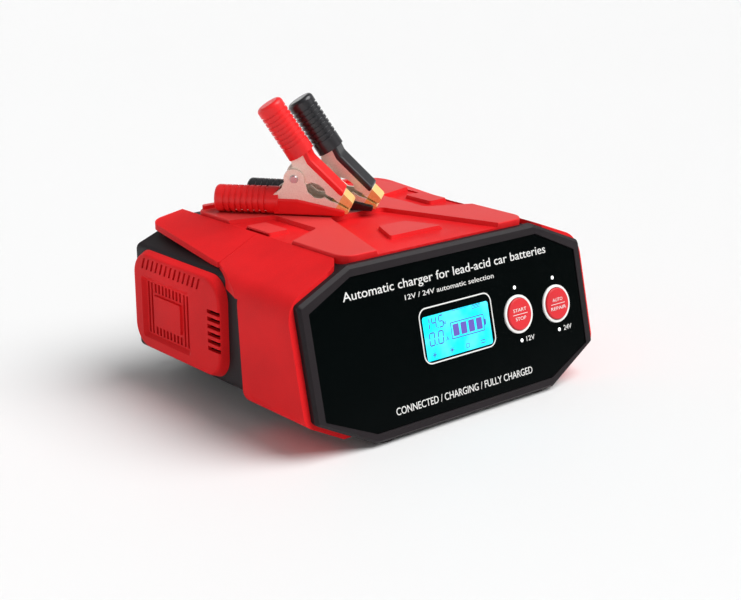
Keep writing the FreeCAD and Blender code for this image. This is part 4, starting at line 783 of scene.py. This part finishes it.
class ChargerButtons(bpy.types.Operator):
    """Finish the two push buttons and their rings"""

    bl_idname = "charger.buttons"
    bl_label = "Push buttons"

    def execute(self, context):
        covers = context.scene.charger_covers
        fine = {"grain": 0.0004, "depth": 0.00001, "dust": 0.0}
        cap = Shared.get("button_cap", moulded, covers.cap, 0.35, **fine)
        ring = Shared.get("button_ring", moulded, covers.white, 0.3, **fine, Coat_Weight=0.3)
        white = Shared.get("white_ink", ink, covers.white)
        for side, upper, lower in (("left", "START", "STOP"), ("right", "AUTO", "REPAIR")):
            paint(cap, side + "_button")
            paint(ring, side + "_button_ring")
            x, up = button_middle(side)
            body = side + "_button"
            for place, text, base in (("_upper_word", upper, up + 1.5), ("_lower_word", lower, up - 3.3)):
                half = len(text) * LETTER_HALF
                lettering(side + place, text, x - half, x + half, base, 1.8, BUTTON_FACE, white, body)
            line = [bar(x - 5.6, up, x + 5.6, up, 0.3)]
            printed(side + "_divider", line, BUTTON_FACE, BUTTON_FACE + 0.05, white, body)
        return {"FINISHED"}


class ChargerLamps(bpy.types.Operator):
    """Light the four small lamps"""

    bl_idname = "charger.lamps"
    bl_label = "Lamps"

    def execute(self, context):
        paint(lit("lamp_white", (0.95, 0.95, 0.95), 1.2), "light_pipes")
        return {"FINISHED"}


class ChargerClamps(bpy.types.Operator):
    """Finish the plated jaws, the toothed tips, the springs and the grips"""

    bl_idname = "charger.clamps"
    bl_label = "Clamps"

    def execute(self, context):
        settings = context.scene.charger_clamps
        copper = Shared.get(
            "copper_plating", plated, settings.copper, 0.34, settings.turn, (0.86, 0.58, 0.44), 0.12)
        gold = Shared.get("gold_tip", plated, settings.gold, 0.30, settings.turn, (0.45, 0.22, 0.06), 0.25)
        fine = {"grain": 0.0004, "depth": 0.00002}
        grips = {
            "red": Shared.get(
                "red_grip", moulded, settings.red, 0.36, **fine, Coat_Weight=0.1, Coat_Roughness=0.25),
            "black": Shared.get(
                "black_grip", moulded, settings.black, 0.34, **fine, Coat_Weight=0.5, Coat_Roughness=0.2),
        }
        for name in CLAMPS:
            for half in ("_lower", "_upper"):
                paint(copper, name + half + "_jaw")
                paint(gold, name + half + "_teeth")
                paint(grips[name], name + half + "_grip")
            paint(steel(), name + "_rivet")
            self.wound_spring(name)
        return {"FINISHED"}

    def wound_spring(self, name):
        """Spring as one smooth steel piece: a copy of the CAD spring with its points merged, set in the CAD
        spring's place.
        """
        mesh = NODES[name + "_spring"].data.copy()
        joined = bmesh.new()
        joined.from_mesh(mesh)
        bmesh.ops.remove_doubles(joined, verts=joined.verts, dist=1e-6)
        joined.to_mesh(mesh)
        joined.free()
        mesh.polygons.foreach_set("use_smooth", np.ones(len(mesh.polygons), dtype=bool))
        mesh.materials.clear()
        mesh.materials.append(steel())
        spring = bpy.data.objects.new(name + "_wound_spring", mesh)
        bpy.context.scene.collection.objects.link(spring)
        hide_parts(name + "_spring")
        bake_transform(spring)


class ChargerInside(bpy.types.Operator):
    """Finish the boards, the transformer and the fan inside"""

    bl_idname = "charger.inside"
    bl_label = "Inside"

    def execute(self, context):
        dark = Shared.get("black_plastic", moulded, (0.02, 0.02, 0.02), 0.5)
        paint(dark, "tact_switches", "power_transistors", "ribbon_cable", "fan_frame", "fan_rotor")
        paint(board("board_lacquer"), "main_board", "control_board")
        paint(laminated("core_sheets"), "transformer_core")
        paint(wound("coil_wire", (0.55, 0.22, 0.06)), "transformer_winding", "output_choke")
        can = plated("can_metal", (0.72, 0.72, 0.74), 0.35, 0.0, (0.4, 0.4, 0.42))
        paint(can, "input_capacitor", "output_capacitors", "heatsink", "fuse")
        return {"FINISHED"}


class ChargerPanel(bpy.types.Panel):
    """Lists the charger's operators and settings"""

    bl_idname = "VIEW3D_PT_charger"
    bl_label = "Battery charger"
    bl_space_type = "VIEW_3D"
    bl_region_type = "UI"
    bl_category = "Charger"

    def draw(self, context):
        column = self.layout.column()
        for operator in OPERATORS:
            column.operator(operator.bl_idname)
        for key, group in SETTINGS.items():
            block = self.layout.box()
            for name in group.__annotations__:
                block.prop(getattr(context.scene, key), name)


SETTINGS = {
    "charger_stage": ChargerStageSettings,
    "charger_covers": ChargerCoverSettings,
    "charger_display": ChargerDisplaySettings,
    "charger_clamps": ChargerClampSettings,
}
OPERATORS = (ChargerStage, ChargerCasing, ChargerCovers, ChargerFront, ChargerDisplay, ChargerButtons,
             ChargerLamps, ChargerClamps, ChargerInside)
CLASSES = (*SETTINGS.values(), *OPERATORS, ChargerPanel)


def register():
    """Adds the classes and the settings to Blender."""
    for item in CLASSES:
        bpy.utils.register_class(item)
    for key, group in SETTINGS.items():
        setattr(bpy.types.Scene, key, PointerProperty(type=group))


def unregister():
    """Takes the settings and the classes out again."""
    for key in SETTINGS:
        delattr(bpy.types.Scene, key)
    for item in reversed(CLASSES):
        bpy.utils.unregister_class(item)


def main():
    """Makes every piece in order."""
    register()
    for operator in OPERATORS:
        space, name = operator.bl_idname.split(".")
        getattr(getattr(bpy.ops, space), name)()


if __name__ == "__main__":
    main()
